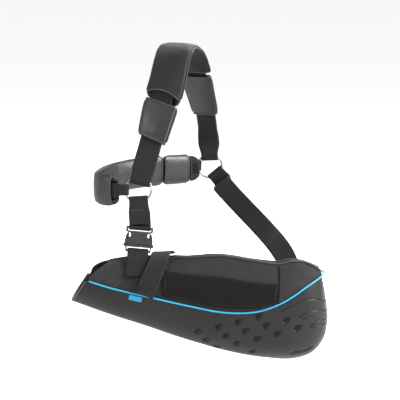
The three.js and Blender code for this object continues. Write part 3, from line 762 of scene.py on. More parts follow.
def tape_material(name, dark, light, rough, rib, sheen):
    """Woven tape or piping: fine ribs across its length, in two close tones."""
    g = Graph(name)
    u, v = g.uv()
    fuzz = g.noise(900)
    height = (v + u * 0.4).per(rib).wave() * 0.4 + fuzz
    g.tint(height.spread(0.0, 1.0, 0.1, 1.0), [dark, light])
    g.bump(height, 0.35, 0.0003)
    return g.done(Roughness=fuzz.spread(rough - 0.07, rough + 0.1), Sheen_Weight=sheen, Sheen_Roughness=0.35)


def plastic_material(name):
    g = Graph(name)
    scuff = g.noise(90, 5, 0.7)
    g.tint(scuff.spread(0.0, 1.0, 0.35, 0.75), greys(0.003, 0.009))
    g.bump(g.noise(1600), 0.12, 0.0002)
    return g.done(Roughness=scuff.spread(0.3, 0.48), Specular_IOR_Level=0.5)


def metal_material(name):
    g = Graph(name)
    scuff = g.noise(240, 5, 0.7)
    g.tint(scuff.spread(0.0, 1.0, 0.3, 0.75), [grey(0.12, 0.03), grey(0.3, 0.03)])
    g.bump(scuff, 0.1, 0.0001)
    return g.done(Roughness=scuff.spread(0.2, 0.4), Metallic=1.0)


WEBBING = webbing_material("webbing_black", 0.002, 0.011)
WEBBING_TAB = webbing_material("webbing_tab", 0.002, 0.011, 0.85, 1.4)
PAD = knit_material("pad_cover", 0.002, 0.008, 0.62, 1.1, 0.02)
SLEEVE = skin_material("pad_sleeve_cover", 0.006, 0.014, 0.36, 480, 0.02, 0.2, 0.45)
SLEEVE_EDGE = tape_material("sleeve_binding", grey(0.012), grey(0.035), 0.5, 0.8, 0.05)
# The foam's colour darkens where the "recess" attribute marks dimples, grooves and the pocket: painted shade.
FOAM = skin_material("shell_foam", 0.003, 0.009, 0.42, 420, 0.0, 0.22, 0.26, "recess")
MESH = mesh_material("spacer_mesh", 0.0004, 0.03)
LINING = mesh_material("lining_mesh", 0.001, 0.01, 2.4)
PILE = pile_material("loop_pile", 0.001, 0.008)
PIPING = tape_material("piping_blue", (0.002, 0.2, 0.36), (0.008, 0.3, 0.48), 0.4, 0.9, 0.03)
LABEL = tape_material("label_blue", (0.001, 0.19, 0.36), (0.004, 0.27, 0.46), 0.5, 0.6, 0.03)
BINDING = tape_material("binding_grey", grey(0.014), grey(0.04), 0.55, 0.8, 0.05)
HEM = tape_material("hem_black", grey(0.003), grey(0.012), 0.6, 0.8, 0.04)
THREAD = tape_material("thread", grey(0.006), grey(0.02), 0.55, 0.8, 0.03)
THREAD_LIGHT = tape_material("thread_light", grey(0.02), grey(0.055), 0.5, 0.8, 0.05)
DARK = skin_material("inside_dark", 0.001, 0.003, 0.95, 300, 0.0, 0.2)
PLASTIC = plastic_material("buckle_plastic")
METAL = metal_material("ring_metal")


# ---- Pads ----
def hollow(name, outer, inner, material, inside, uvs):
    """A padded tube: an outer skin and the wall of its channel, joined round both mouths."""
    rows, columns = outer.shape[:2]
    n = rows * columns
    skin = grid_faces(rows, columns, 0, True)
    wall = grid_faces(rows, columns, n, True)[:, ::-1]
    j = np.arange(columns)
    k = (j + 1) % columns
    last = (rows - 1) * columns
    front = np.stack([j, k, k + n, j + n], axis=-1)
    back = np.stack([last + j, last + j + n, last + k + n, last + k], axis=-1)
    faces = np.concatenate([skin, front, back, wall]).tolist()
    points = np.concatenate([outer.reshape(-1, 3), inner.reshape(-1, 3)])
    obj = new_object(name, points, faces, material, np.concatenate([uvs.reshape(-1, 2)] * 2))
    obj.data.materials.append(inside)
    which = np.zeros(len(faces), np.int32)
    which[len(skin) + 2 * columns :] = 1
    obj.data.polygons.foreach_set("material_index", which)
    return face_out(obj)


def blown(rings, pinned, pressure, cap, frames=16):
    """A closed skin (rows x columns) filled by a short cloth simulation, its moves capped in mm."""
    faces = tube_faces(*rings.shape[:2])
    obj = face_out(new_object("blowing", rings.reshape(-1, 3), faces, THREAD))
    group = obj.vertex_groups.new(name="pinned")
    for index in np.flatnonzero(pinned.ravel()):
        group.add([int(index)], 1.0, "REPLACE")
    cloth = obj.modifiers.new("Cloth", "CLOTH")
    settings = {"quality": 6, "mass": 0.25, "tension_stiffness": 14, "compression_stiffness": 14}
    settings |= {"shear_stiffness": 6, "bending_stiffness": 0.35, "vertex_group_mass": "pinned"}
    settings |= {"use_pressure": True, "uniform_pressure_force": pressure}
    for key, value in settings.items():
        setattr(cloth.settings, key, value)
    cloth.settings.effector_weights.gravity = 0
    cloth.point_cache.frame_start = 1
    cloth.point_cache.frame_end = frames
    scene = bpy.context.scene
    for frame_number in range(1, frames + 1):
        scene.frame_set(frame_number)
    view = bpy.context.evaluated_depsgraph_get()
    mesh = obj.evaluated_get(view).to_mesh()
    moved = np.empty(len(mesh.vertices) * 3, np.float32)
    mesh.vertices.foreach_get("co", moved)
    moved = moved.reshape(-1, 3).astype(float) * 1000 + ORIGIN
    bpy.data.objects.remove(obj, do_unlink=True)
    scene.frame_set(1)
    change = moved.reshape(rings.shape) - rings
    size = np.linalg.norm(change, axis=-1, keepdims=True)
    return rings + change * np.minimum(1, cap / np.maximum(size, 1e-6))


def pad_rings(route, span, width, thick, edge, ends):
    """Rings of a pad's skin. `ends(a, side)` gives how far each end is shifted along the route."""
    start, stop = span
    distances = np.linspace(start, stop, max(8, int((stop - start) / 2.6)))
    a = np.linspace(-1, 1, 26)
    a = np.sign(a) * (1 - (1 - np.abs(a)) ** 1.25)
    across = np.concatenate([a, a[::-1][1:-1]])
    side = np.concatenate([np.ones(len(a)), -np.ones(len(a) - 2)])
    height = edge + (thick / 2 - edge) * np.clip(1 - np.abs(across) ** 3.2, 0, 1) ** 0.62
    near_start = np.clip(1 - (distances - start) / 30, 0, 1)[:, None] ** 1.5
    near_stop = np.clip(1 - (stop - distances) / 30, 0, 1)[:, None] ** 1.5
    first, last = ends(across, side)
    spots = distances[:, None] + first * near_start + last * near_stop
    half = np.interp(distances, span, width)[:, None] / 2 * across
    point, _, sideways, face = route.stops(spots.ravel())
    up = np.broadcast_to(height * side, spots.shape)
    rings = point + sideways * half.ravel()[:, None] + face * up.ravel()[:, None]
    return rings.reshape(spots.shape + (3,)), spots, half, np.abs(across) > 0.985, side


def channel_rings(route, spots, half, side, inner, mouth):
    """The channel's wall under the same places as a pad's skin; it flares out at the mouths."""
    wide, thick = inner
    share = half / np.abs(half).max()
    flare = np.clip(1 - (spots - spots.min()) / mouth[0], 0, 1)
    flare = flare + np.clip(1 - (spots.max() - spots) / mouth[1], 0, 1)
    level = (thick / 2 + flare**2 * mouth[2]) * np.clip(1 - np.abs(share) ** 6, 0.05, 1) ** 0.5 * side
    point, _, sideways, face = route.stops(spots.ravel())
    rings = point + sideways * (share * wide / 2).ravel()[:, None] + face * level.ravel()[:, None]
    return rings.reshape(spots.shape + (3,))


def wrinkled(skin, spots, half, seed, creases):
    """Soft waves and creases in a pad's skin, which fade out at its ends and sides."""
    face = normals_of(skin)
    wave = ripple(spots + half * 0.5, seed, 24.0) * 0.35 + ripple(half - spots * 0.3, seed + 2, 15.0) * 0.2
    for place, depth, spread in creases:
        wave = wave - depth * bump_at(spots - place - half * 0.12, spread)
    fade = np.clip((spots - spots.min()) / 14, 0, 1) * np.clip((spots.max() - spots) / 14, 0, 1)
    fade = fade * np.clip(1.2 - np.abs(half) / np.abs(half).max(), 0, 1)
    out = np.sign((face * (skin - skin.mean(axis=1, keepdims=True))).sum(-1, keepdims=True))
    return skin + face * out * (wave * fade)[..., None]


def straight_ends(a, side):
    return 0 * a, 0 * a


def make_pad(name, route, span, width, thick, inner, look, body, node, seed, ends=straight_ends,
             edge=1.5, pressure=2.0, cap=0.8, creases=(), mouth=(16, 16, 1.2), flange=1.3):
    """A sewn, filled tube with bound mouths, side seams and soft wrinkles."""
    cover, inside, binding, thread = look
    rings, spots, half, edges, side = pad_rings(route, span, width, thick, edge, ends)
    pinned = np.zeros(rings.shape[:2], bool)
    pinned[:2] = pinned[-2:] = True
    pinned[:, edges] = True
    skin = wrinkled(blown(rings, pinned, pressure, cap), spots, half, seed, creases)
    wall = channel_rings(route, spots, half, side, inner, mouth)
    obj = hollow(name, skin, wall, cover, inside, np.stack([run_along(rings), spots], axis=-1))
    put(obj, body, node)
    for label, row in (("start", 0), ("stop", -1)):
        lip = skin[row] * 0.72 + wall[row] * 0.28
        put(bead(f"{name}_rim_{label}", lip, 1.15, 1.35, binding, across=skin[row] - wall[row], closed=True,
                 sides=8, seed=seed), body)
    columns = np.flatnonzero(edges)
    for label, sign in (("left", -1), ("right", 1)):
        pick = columns[np.argmax(sign * half[len(half) // 2, columns])]
        point, _, sideways, up = route.stops(spots[1:-1, pick])
        line = skin[1:-1, pick] + sideways * sign * flange * 0.5
        put(bead(f"{name}_seam_{label}", line, flange, 0.75, binding, across=sideways, sides=8,
                 seed=seed + sign, taper=5.0), body)
        lines = []
        for face_side in (1, -1):
            near = skin[2:-2, (pick + face_side * 2) % skin.shape[1]]
            direction = up[1:-1] * np.sign(((near - point[1:-1]) * up[1:-1]).sum(1))[:, None]
            lines.append((near + direction * 0.25, direction))
        put(threads(f"{name}_stitch_{label}", lines, thread, 2.4, 1.2, 0.5, 0.22), body)


# ---- The shoulder strap ----
width = width_along(webbing_route, WIDE, (FRONT_RING, FRONT_NECK), (REAR_RING, REAR_NECK))
piece = webbing("shoulder_webbing_woven", webbing_route, width, WEBBING, 2.0)
put(piece, "harness", "shoulder_webbing")
for label, place in (("front", 20.0), ("rear", webbing_route.length - 36.0)):
    name = f"shoulder_webbing_tack_{label}"
    put(box_stitch(name, webbing_route, place, place + 14, 15, WEB / 2 + 0.1, cross=False), "harness")

# A pad's cover, lining, binding and thread.
PAD_LOOK = (PAD, DARK, SLEEVE_EDGE, THREAD)
SLEEVE_LOOK = (SLEEVE, DARK, SLEEVE_EDGE, THREAD_LIGHT)
GATHER_LOOK = (WEBBING, DARK, HEM, THREAD)
CHANNEL, AXILLA_CHANNEL = (46.0, 8.0), (34.0, 6.6)


def shoulder_pad_ends(a, side):
    """The outer wall of the front mouth ends in an arc above the inner one, so the lining shows."""
    near = 11.5 - 7.5 * a**2 - 2.5 * a
    far = (-5.6 - 4.0 * a) * (1 - np.abs(a) ** 14) + near * np.abs(a) ** 14
    return np.where(side < 0, near, far), -2.0 + 2.0 * a


def front_sleeve_ends(a, side):
    return -5.5 * a, -4.0 * a


def underarm_pad_ends(a, side):
    """The body's side of the front mouth stands out past its outer side."""
    return 2.0 - 10.0 * (side > 0) * (1 - np.abs(a) ** 10), 0 * a


# Each pad's span is in mm along its route, and its two widths are those of its ends.
PAD_SPAN, FRONT_SLEEVE_SPAN, REAR_SLEEVE_SPAN = (163, 373), (90, 153.8), (383, 455)
PAD_HIGH, SLEEVE_HIGH = 13.2, 11.0
make_pad("shoulder_pad_cover", shoulder_route, PAD_SPAN, (63, 65), PAD_HIGH, CHANNEL, PAD_LOOK, "harness",
         "shoulder_pad", 3.0, shoulder_pad_ends, pressure=3.0, cap=1.6, mouth=(26, 14, 2.4),
         creases=[(318, 0.9, 5.0), (352, 0.8, 4.0)])
make_pad("front_sleeve_cover", shoulder_route, FRONT_SLEEVE_SPAN, (50, 58), SLEEVE_HIGH, CHANNEL, SLEEVE_LOOK,
         "front_sleeve", "front_pad_sleeve", 4.0, front_sleeve_ends, flange=1.6,
         creases=[(100, 0.35, 3.0)])
make_pad("rear_sleeve_cover", shoulder_route, REAR_SLEEVE_SPAN, (62, 50), SLEEVE_HIGH, CHANNEL, SLEEVE_LOOK,
         "rear_sleeve", "rear_pad_sleeve", 5.0, flange=1.6, creases=[(390, 0.6, 3.0)])

# ---- The rings ----
turn = np.linspace(0, 2 * math.pi, 121)[:-1, None]
WELD = slice(82, 87)
for name, centre, normal in (("ring_front", FRONT_RING, FRONT_NORMAL), ("ring_rear", REAR_RING, REAR_NORMAL)):
    first = unit(np.cross(normal, UP))
    out = first * np.cos(turn) + np.cross(normal, first) * np.sin(turn)
    line = centre + out * RING_RADIUS
    wire = bead(f"{name}_wire", line, WIRE, WIRE, METAL, across=out, closed=True, sides=20)
    put(wire, "harness", name)
    swell = WIRE + 0.14
    weld = bead(f"{name}_weld", line[WELD], swell, swell, METAL, across=out[WELD], sides=20)
    put(weld, "harness", None)

# ---- The underarm strap ----
UNDERARM_WIDE = 26
underarm_route = underarm_webbing_route()
width = width_along(underarm_route, UNDERARM_WIDE, (FRONT_RING, SMALL), (REAR_RING, SMALL))
piece = webbing("underarm_webbing_woven", underarm_route, width, WEBBING, 7.0)
put(piece, "harness", "underarm_webbing")
end = axilla_route.length
UNDERARM_SPAN, UNDERARM_SLEEVE_SPAN = (46, end - 103.2), (end - 96.5, end - 46.5)
GATHER_SPAN = (end - 41.5, end - 26)
make_pad("underarm_pad_cover", axilla_route, UNDERARM_SPAN, (50, 50), 11, AXILLA_CHANNEL, SLEEVE_LOOK,
         "harness", "underarm_pad", 8.0, underarm_pad_ends, pressure=3.0, cap=2.0,
         mouth=(18, 12, 2.0),
         creases=[(112, 1.0, 3.0), (124, 1.2, 2.6), (136, 0.9, 3.0), (168, 0.6, 4.0)])
make_pad("underarm_sleeve_cover", axilla_route, UNDERARM_SLEEVE_SPAN, (50, 48), 10.6, AXILLA_CHANNEL,
         SLEEVE_LOOK, "underarm_sleeve", "underarm_pad_sleeve", 9.0, pressure=2.5, cap=1.4)
make_pad("underarm_gather_rear", axilla_route, GATHER_SPAN, (46, 34), 7.6, (24, 6.2), GATHER_LOOK,
         "harness", None, 10.0, edge=2.0, pressure=1.0, cap=0.5, flange=0.8)

# ---- The front strap ----
TAB_WIDE, TAB_THICK = 35.6, 1.6
front_route = front_strap_route()
width = width_along(front_route, NARROW, (FRONT_RING, 31.0))
put(webbing("front_strap_woven", front_route, width, WEBBING, 11.0), "harness", "front_strap")


def tab_route():
    low = beside_buckle(BAR_TOP + 5, -3.6)[0]
    high = beside_buckle(BAR_TOP, 0)[0]
    high = high + (FRONT_RING - high) * 0.46 + vec(0, -2.9, 0)
    return Route([(place, BUCKLE_ACROSS) for place in (low, (low + high) / 2, high)])


tab = tab_route()
piece = webbing("front_tab_patch", tab, TAB_WIDE, WEBBING_TAB, 12.0, thick=TAB_THICK)
put(piece, "front_tab", "front_strap_tab")
put(box_stitch("front_tab_stitch", tab, 3.5, tab.length - 4.5, 14.5, 0.95), "front_tab")
point, _, across, face = tab.stops([tab.length] * 18)
edge = point + across * np.linspace(-17.4, 17.4, 18)[:, None]
put(bead("front_tab_edge", edge, 0.9, 1.15, SLEEVE_EDGE, across=face, sides=8, seed=3.0), "front_tab")

# ---- The rear strap ----
rear_route = rear_strap_route()
doubled = [layered(rear_base, d, -LAYER + 0.3) for d in (62, 53, 44)]
rear_whole = Route(doubled + list(zip(rear_route.curve.points, rear_route.widths.points)))
width = width_along(rear_whole, NARROW, (REAR_RING, REAR_NECK))
piece = webbing("rear_strap_woven", rear_whole, width, WEBBING, 14.0)
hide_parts("rear_strap")
start, end = (tuple(to_row(place)) for place in ((128, -2, -72), (149, -46, -98)))
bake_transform(piece)
end = rear_route.length
put(box_stitch("rear_strap_stitch", rear_route, end - 17, end - 3, 14, 1.1), "trough")
TAIL_WIDE, TAIL_SPAN = NARROW - 0.6, (74, 136)
piece = webbing("rear_tail_woven", rear_route, TAIL_WIDE, WEBBING, 15.0, thick=1.8, span=TAIL_SPAN, lift=-2.6)
put(piece, "rear_tail", "rear_strap_tail")
put(box_stitch("rear_tail_stitch", rear_route, 122, 133, 14, -3.6, cross=False), "rear_tail")

# ---- The trough's moulded shell ----
# Recesses are placed by their position in side view (x, z), and found again on each side.
DIMPLE_LEAN = math.radians(31)
DIMPLE_LONG, DIMPLE_WIDE, DIMPLE_DEEP = 8.8, 5.6, 3.4
DIMPLE_ROWS = ((-3, 0), (-3, 1), (-3, 1), (-4, -2))
GROOVE_DEEP, POCKET_DEEP = 1.6, 2.2
GROOVES = (
    ((128, -158.5), (150, -148), (170, -141), (186, -139), (198, -143), (208, -150)),
    ((207, -163), (192, -158.5), (178, -160), (166, -165), (162.5, -168), (165, -171), (180, -168.5),
     (207, -171)),
    ((208, -178), (196, -177.5), (186, -182), (181.5, -186.5), (184.5, -189), (195, -185), (208, -186)),
)
POCKET = ((146, -232), (163, -229.5), (178, -226), (188, -219))
MIDDLE_GAP = 0.17  # from the middle plane to each half of the shell


def dimple_places():
    for row, (first, last) in enumerate(DIMPLE_ROWS):
        shift = 12 * row + 3.5 * row * (row - 1)
        for k in range(first, last + 1):
            x = 97 + shift + 33 * k
            yield x, -165.5 - 19.5 * row + 0.29 * (x - 97) - (4 if row == 3 else 0)


def on_side(flat, x, z):
    """The index of the surface point that side view shows at (x, z)."""
    return int(np.argmin((flat[:, 0] - x) ** 2 + (flat[:, 2] - z) ** 2))


def distances_to(flat, line, margin, count):
    """The points near a line on the surface, and their distances to each of its places."""
    curve = Curve([flat[on_side(flat, x, z)] for x, z in line])
    path = curve.at(np.linspace(0, 1, count))
    inside = (flat > path.min(axis=0) - margin) & (flat < path.max(axis=0) + margin)
    near = np.flatnonzero(inside.all(axis=1))
    return near, path, np.linalg.norm(flat[near][:, None] - path[None], axis=2)


def add_dimple(depth, flat, directions, x, z):
    """A leaning egg-shaped bowl, deeper on its upper side, with a faint lip."""
    index = on_side(flat, x, z)
    centre, normal = flat[index], directions[index]
    level = unit(np.cross(UP, normal))
    level = level * np.sign(level[0])
    rise = np.cross(level, normal)
    rise = rise * np.sign(rise[2])
    long = level * math.cos(DIMPLE_LEAN) + rise * math.sin(DIMPLE_LEAN)
    wide = np.cross(long, normal)
    wide = wide * np.sign(wide[2])
    away = flat - centre
    near = (np.abs(away).max(axis=1) < 16) & (np.abs(directions @ normal) > 0.2)
    a, b = away[near] @ long / DIMPLE_LONG, away[near] @ wide / DIMPLE_WIDE
    b = b * (1 + 0.32 * a)
    r = np.sqrt(a**2 + b**2)
    slope = 0.62 + 0.38 * np.clip(b - a * 0.5, -1, 1)
    lip = 0.42 * bump_at(r - 1.16, 0.13) * np.clip(0.35 + a - b, 0, 1)
    depth[near] += smoothstep(1.02, 0.62, r) * DIMPLE_DEEP * slope - lip


def recess(points, normals):
    """How far each surface point lies below the plain shell, in mm."""
    flat, directions = points.reshape(-1, 3), normals.reshape(-1, 3)
    depth = np.zeros(len(flat))
    for x, z in dimple_places():
        add_dimple(depth, flat, directions, x, z)
    for groove in GROOVES:
        near, _, distances = distances_to(flat, groove, 5, 160)
        distance = distances.min(axis=1)
        depth[near] += GROOVE_DEEP * bump_at(distance, 1.0) - 0.3 * bump_at(distance - 2.4, 1.1)
    near, path, distances = distances_to(flat, POCKET, 12, 120)
    nearest, distance = distances.argmin(axis=1), distances.min(axis=1)
    below = (flat[near] - path[nearest])[:, 2] < 0
    ends = np.clip(np.minimum(nearest, 119 - nearest) / 22.0, 0, 1)
    depth[near] += POCKET_DEEP * bump_at(distance, np.where(below, 5.5, 1.0)) * ends
    return depth.reshape(points.shape[:2])


def shell_piece(name, side, rows, columns, node):
    uu, tt = grid(rows, columns)
    outer, inner = shell_points(uu, tt, side, 0), shell_points(uu, tt, side, SHELL)
    outer[:, 0, 1] = inner[:, 0, 1] = TROUGH_Y + side * MIDDLE_GAP
    normals = normals_of(outer)
    centre = vec(0, TROUGH_Y, 0) + vec(1, 0, 1) * outer.mean(axis=1, keepdims=True)
    away = np.sign((normals * (outer - centre)).sum(-1))
    normals = normals * np.sign(np.median(away[rows // 3 : rows // 2, columns // 2]))
    depth = recess(outer, normals)
    edge = smoothstep(0, 0.02, tt) * smoothstep(1.0, 0.985, tt)
    swell = ripple(outer[..., 0] + tt * 40, 3.0 + side, 62.0) * 0.45 * np.sin(tt * math.pi)
    swell = swell * smoothstep(0, 0.1, uu)
    hand = smoothstep(0.10, 0.0, uu) * np.sin(tt * math.pi * 3) * 0.5
    outer = outer + normals * ((swell + hand - depth) * edge)[..., None]
    around = np.meshgrid(run_along(outer[:, columns // 2]), run_along(outer[rows // 2]), indexing="ij")
    piece = shell_object(name, outer, inner, FOAM, np.stack(around, axis=-1))
    # The recess attribute carries the recess depth to the foam's material, which paints shade there.
    shade = piece.data.attributes.new("recess", "FLOAT", "POINT")
    level = (np.clip(depth / DIMPLE_DEEP, 0, 1) * edge).ravel()
    shade.data.foreach_set("value", np.concatenate([level, 0 * level]).astype(np.float32))
    put(piece, "trough", node)


shell_piece("shell_near_moulded", -1, 380, 150, "shell_near")
shell_piece("shell_far_moulded", 1, 300, 110, "shell_far")


def surface_line(function, us, ts, side, lift):
    """A line over a surface function(u, t, side, depth), with normals away from the trough's middle."""
    points = function(us, ts, side, 0)
    du = function(np.clip(us + 0.002, 0, 1), ts, side, 0) - function(np.clip(us - 0.002, 0, 1), ts, side, 0)
    dt = function(us, np.clip(ts + 0.02, 0, 1), side, 0) - function(us, np.clip(ts - 0.02, 0, 1), side, 0)
    normal = unit(np.cross(du, dt))
    middle = ((points[:, 1] - TROUGH_Y) * normal[:, 1])[:, None]
    normal = normal * np.where(np.abs(middle) > 1e-6, np.sign(middle), 1)
    return points + normal * lift, normal


def middle_line(start, stop, count, towards):
    """A stretch of the keel line, with its normals in the middle plane on the side of `towards`."""
    line = keel_curve.at(np.linspace(start, stop, count)) + vec(0, TROUGH_Y, 0)
    normals = unit(np.cross(np.gradient(line, axis=0), SIDEWAYS))
    return line, normals * np.sign(normals[count // 2] @ towards)


# Stitches below the piping, and the sewn keel and back seam.
u = np.linspace(0.012, 0.985, 400)
for side, label in SIDES:
    line = surface_line(shell_points, u, 0 * u + 0.972, side, 0.12)
    put(threads(f"piping_stitch_{label}", [line], THREAD, 2.6, 1.3, 0.5, 0.2), "trough")
keel, down = middle_line(0.03, 0.83, 300, -UP)
for side, label in SIDES:
    line = keel + SIDEWAYS * side * 2.6 - down * 0.15
    put(threads(f"keel_stitch_{label}", [(line, down)], THREAD, 2.8, 1.4), "trough")
back, outward = middle_line(0.80, 0.995, 66, vec(1, 0, 0))
zigzag = back + outward * 0.7
zigzag[:, 1] += np.where(np.arange(len(back)) % 2, 2.6, -2.6)
pairs = [(zigzag[i : i + 2], outward[i : i + 2]) for i in range(len(back) - 1)]
put(threads("back_seam_zigzag", pairs, THREAD_LIGHT, 4.6, 0.2, 0.8, 0.45), "trough")
line = back + outward * 0.15
put(bead("back_seam_tape", line, 3.8, 0.6, HEM, across=every(SIDEWAYS, line), seed=5.0), "trough")


# ---- The liner, seen at the open top and the hand end ----
def around_shell(u, v, depth):
    """The shell's points with v from the near edge (-1) round the keel (0) to the far edge (1)."""
    near, far = (shell_points(u, np.abs(v), side, depth) for side in (-1, 1))
    return np.where((v < 0)[..., None], near, far)


uu, vv = grid(150, 90, 0.03, 0.9)
across = 2 * vv - 1
top_skin = around_shell(uu, across * 0.93, SHELL + 1)
under_skin = around_shell(uu, across * 0.93, SHELL + 1 + LINER)
wave = ripple(top_skin[..., 0], 4.0, 30.0) * 0.3 + ripple(vv * 160, 6.0, 22.0) * 0.25
under_skin = under_skin + UP * (wave * np.cos(across * 1.4))[..., None]
uv = np.stack([across * 110, uu * 430], axis=-1)
put(shell_object("liner_spacer", top_skin, under_skin, LINING, uv), "trough", "liner")


# ---- Piping ----
PIPING_RADIUS = 1.7


def piping_line():
    u = np.linspace(0.004, 0.992, 330)
    rim, ahead = rim_curve.at(u), rim_curve.tangent(u)
    out = unit(np.column_stack([-ahead[:, 1], ahead[:, 0], 0 * u])) * (PIPING_RADIUS + GAP + 0.35)
    x, y = rim[:, 0] + out[:, 0], rim[:, 1] + out[:, 1]

    def side(sign):
        return np.column_stack([x, TROUGH_Y + sign * y, rim[:, 2] + 0.1])

    near, far = side(-1), side(1)[::-1]
    last = near[-1]
    shares = (-0.55, 0, 0.55)
    back = [vec(last[0] + 4 - abs(share) * 3, TROUGH_Y + share * 12, last[2] + 0.4) for share in shares]
    bend = Curve([near[-6], near[-1], *back, far[0], far[5]]).at(np.linspace(0.17, 0.83, 24))
    return np.concatenate([near[:-3], bend, far[3:]])


piece = bead("piping_cord", piping_line(), 1.45, 1.4, PIPING, sides=14, seed=6.0)
put(piece, "trough", "piping")

# ---- Mesh panels, hems and the strip of loop fabric ----
for (side, label), (rows, columns) in zip(SIDES, ((300, 60), (220, 44))):
    uu, tt = grid(rows, columns)
    outer, inner = panel_points(uu, tt, side, 0), panel_points(uu, tt, side, PANEL)
    x = outer[..., 0]
    wave = ripple(x, 8.0 + side, 40.0) * 0.5 + ripple(x + outer[..., 2], 5.0, 18.0) * 0.2
    wave = vec(0, side, 0.25) * (wave * np.sin(tt * math.pi))[..., None]
    outer, inner = outer + wave, inner + wave
    length = np.broadcast_to(run_along(outer[:, columns // 2])[:, None], uu.shape)
    uv = np.stack([length, run_along(outer)], axis=-1)
    piece = shell_object(f"mesh_panel_{label}_knit", outer, inner, MESH, uv)
    put(piece, "trough", f"mesh_panel_{label}")
    u = np.linspace(2.62 / LAST, 10.3 / LAST, 200)
    hem = panel_points(u, 0 * u + 1, side, 0) + vec(0, -side * PANEL * 0.5, 2.6)
    hem[:, 2] += ripple(hem[:, 0], 9.0 + side, 28.0) * 0.25
    piece = bead(f"hem_{label}_bound", hem, 2.6, 1.9, HEM, sides=14, seed=2.0)
    put(piece, "trough", f"hem_{label}")
    line = hem + vec(0, side * 2.65, -0.3), every(vec(0, side, 0.2), hem)
    put(threads(f"hem_{label}_stitch", [line], THREAD, 2.4, 1.2, 0.5, 0.2), "trough")

STRIP_FROM, STRIP_TO, STRIP_THICK = 2.3, 5.95, 1.4
STRIP_LONG, STRIP_HIGH = 190, 45


def strip_points(share, t, lift):
    along = (STRIP_FROM + (STRIP_TO - STRIP_FROM) * share) / LAST
    high = 0.06 + (0.64 + (0.47 - 0.64) * share - 0.06) * t
    return panel_points(along, high, -1, -lift)


def strip_edge(share, level):
    line = strip_points(share, level, GAP + 0.3 + STRIP_THICK) + vec(0, -0.1, 0)
    return line, every(vec(0, -1, 0.1), line)


ss, tt = grid(200, 60)
outer, inner = strip_points(ss, tt, GAP + 0.1 + STRIP_THICK), strip_points(ss, tt, GAP + 0.1)
x, z = outer[..., 0], outer[..., 2]
fuzz = (ripple(x * 3.1, 2.0, 9.0) + ripple(z * 2.7 + x, 3.0, 7.0)) * 0.05
border = np.minimum(np.minimum(ss, 1 - ss) * STRIP_LONG, np.minimum(tt, 1 - tt) * STRIP_HIGH)
puff = smoothstep(0, 3.5, border) * 0.45 - 0.3 * bump_at(border - 4.0, 0.7)
outer = outer + vec(0, -1, 0.1) * (fuzz + puff)[..., None]
uv = np.stack([ss * STRIP_LONG, tt * STRIP_HIGH], axis=-1)
put(shell_object("loop_strip_pile", outer, inner, PILE, uv), "trough", "loop_strip")
long, short = np.linspace(0.02, 0.98, 150), np.linspace(0.07, 0.93, 40)
lines = [strip_edge(long, 0 * long + level) for level in (0.93, 0.07)]
lines += [strip_edge(share + 0 * short, short) for share in (0.02, 0.98)]
put(threads("loop_strip_stitch", lines, THREAD, 2.6, 1.2, 0.5, 0.3), "trough")

# The elbow seam: a flat tape over the panel, behind the loop strip. Its dark, matte loop pile is partly
# painted shade, standing in for the groove along the seam.
t = np.linspace(0.02, 0.98, 50)
line, _ = surface_line(panel_points, (6.02 + 0.05 * np.sin(t * 3)) / LAST, t, -1, 0.35)
across = every(vec(1, 0, 0), line)
put(bead("elbow_seam_tape", line, 1.9, 0.65, PILE, across=across, sides=8, seed=4.0), "trough")

# ---- Bound hand end ----
v = np.linspace(-0.97, 0.97, 150)
rim_near, rim_deep = around_shell(0 * v, v, 0), around_shell(0 * v, v, SHELL + 1)
line = (rim_near + rim_deep) / 2 + vec(-0.83, 0, -0.1) * 2.7
piece = bead("hand_end_roll", line, 3.3, 2.1, BINDING, across=rim_near - rim_deep, sides=14, seed=7.0)
put(piece, "trough", "hand_end_binding")
u = np.linspace(0.0, 2.45 / LAST, 70)
for side, label in SIDES:
    line, _ = surface_line(panel_points, u, 0 * u + 0.985, side, 0.4)
    across = every(vec(0, 0.5, 1), line)
    put(bead(f"hand_end_edge_{label}", line, 1.7, 0.9, HEM, across=across, sides=8, seed=3.0), "trough")

# ---- The blank tag, sewn on under the piping ----
TAG_LONG, TAG_HIGH, TAG_TURN = 21.6, 8.4, 0.235


def tag_points(a, b, lift):
    """a runs along the tag, b down it, both 0 to 1."""
    x, drop = (a - 0.5) * TAG_LONG, (b - 0.5) * TAG_HIGH
    curl = 0.35 * np.sin(a * 5.0) * b + 0.5 * b**2
    base = vec(-106, TROUGH_Y - 46.8, -138)
    along = vec(math.cos(TAG_TURN), 0, -math.sin(TAG_TURN))
    down = vec(-math.sin(TAG_TURN), 0, -math.cos(TAG_TURN))
    return base + along * x[..., None] + down * drop[..., None] - SIDEWAYS * (curl + lift)[..., None]


aa, bb = grid(40, 18)
border = np.minimum(np.minimum(aa, 1 - aa) * 22, np.minimum(bb, 1 - bb) * 9)
round_off = 0.35 * (1 - np.clip(border / 0.8, 0, 1) ** 0.5)
outer = tag_points(aa, bb, 0.5 - round_off + ripple(aa * 22, 2.0, 2.0) * 0.02)
inner = tag_points(aa, bb, -0.5 + round_off * 0.5)
piece = shell_object("label_tag_blank", outer, inner, LABEL, np.stack([aa * 22, bb * 8.6], axis=-1))
put(piece, "trough", "label_tab")
b = np.linspace(0.1, 0.9, 12)
lines = [(tag_points(a + 0 * b, b, 0.55 + 0 * b), every(-SIDEWAYS, b)) for a in (0.07, 0.93)]
put(threads("label_tag_stitch", lines, LABEL, 1.6, 0.8, 0.35, 0.18), "trough")


# ---- The strap that holds the buckle's male half ----
def on_near_panel(u, t, lift):
    across = unit(panel_points(u + 0.005, t, -1, 0) - panel_points(u - 0.005, t, -1, 0))
    up = panel_points(u, t + 0.02, -1, 0) - panel_points(u, t - 0.02, -1, 0)
    return panel_points(u, t, -1, 0) + unit(np.cross(across, up)) * lift, across


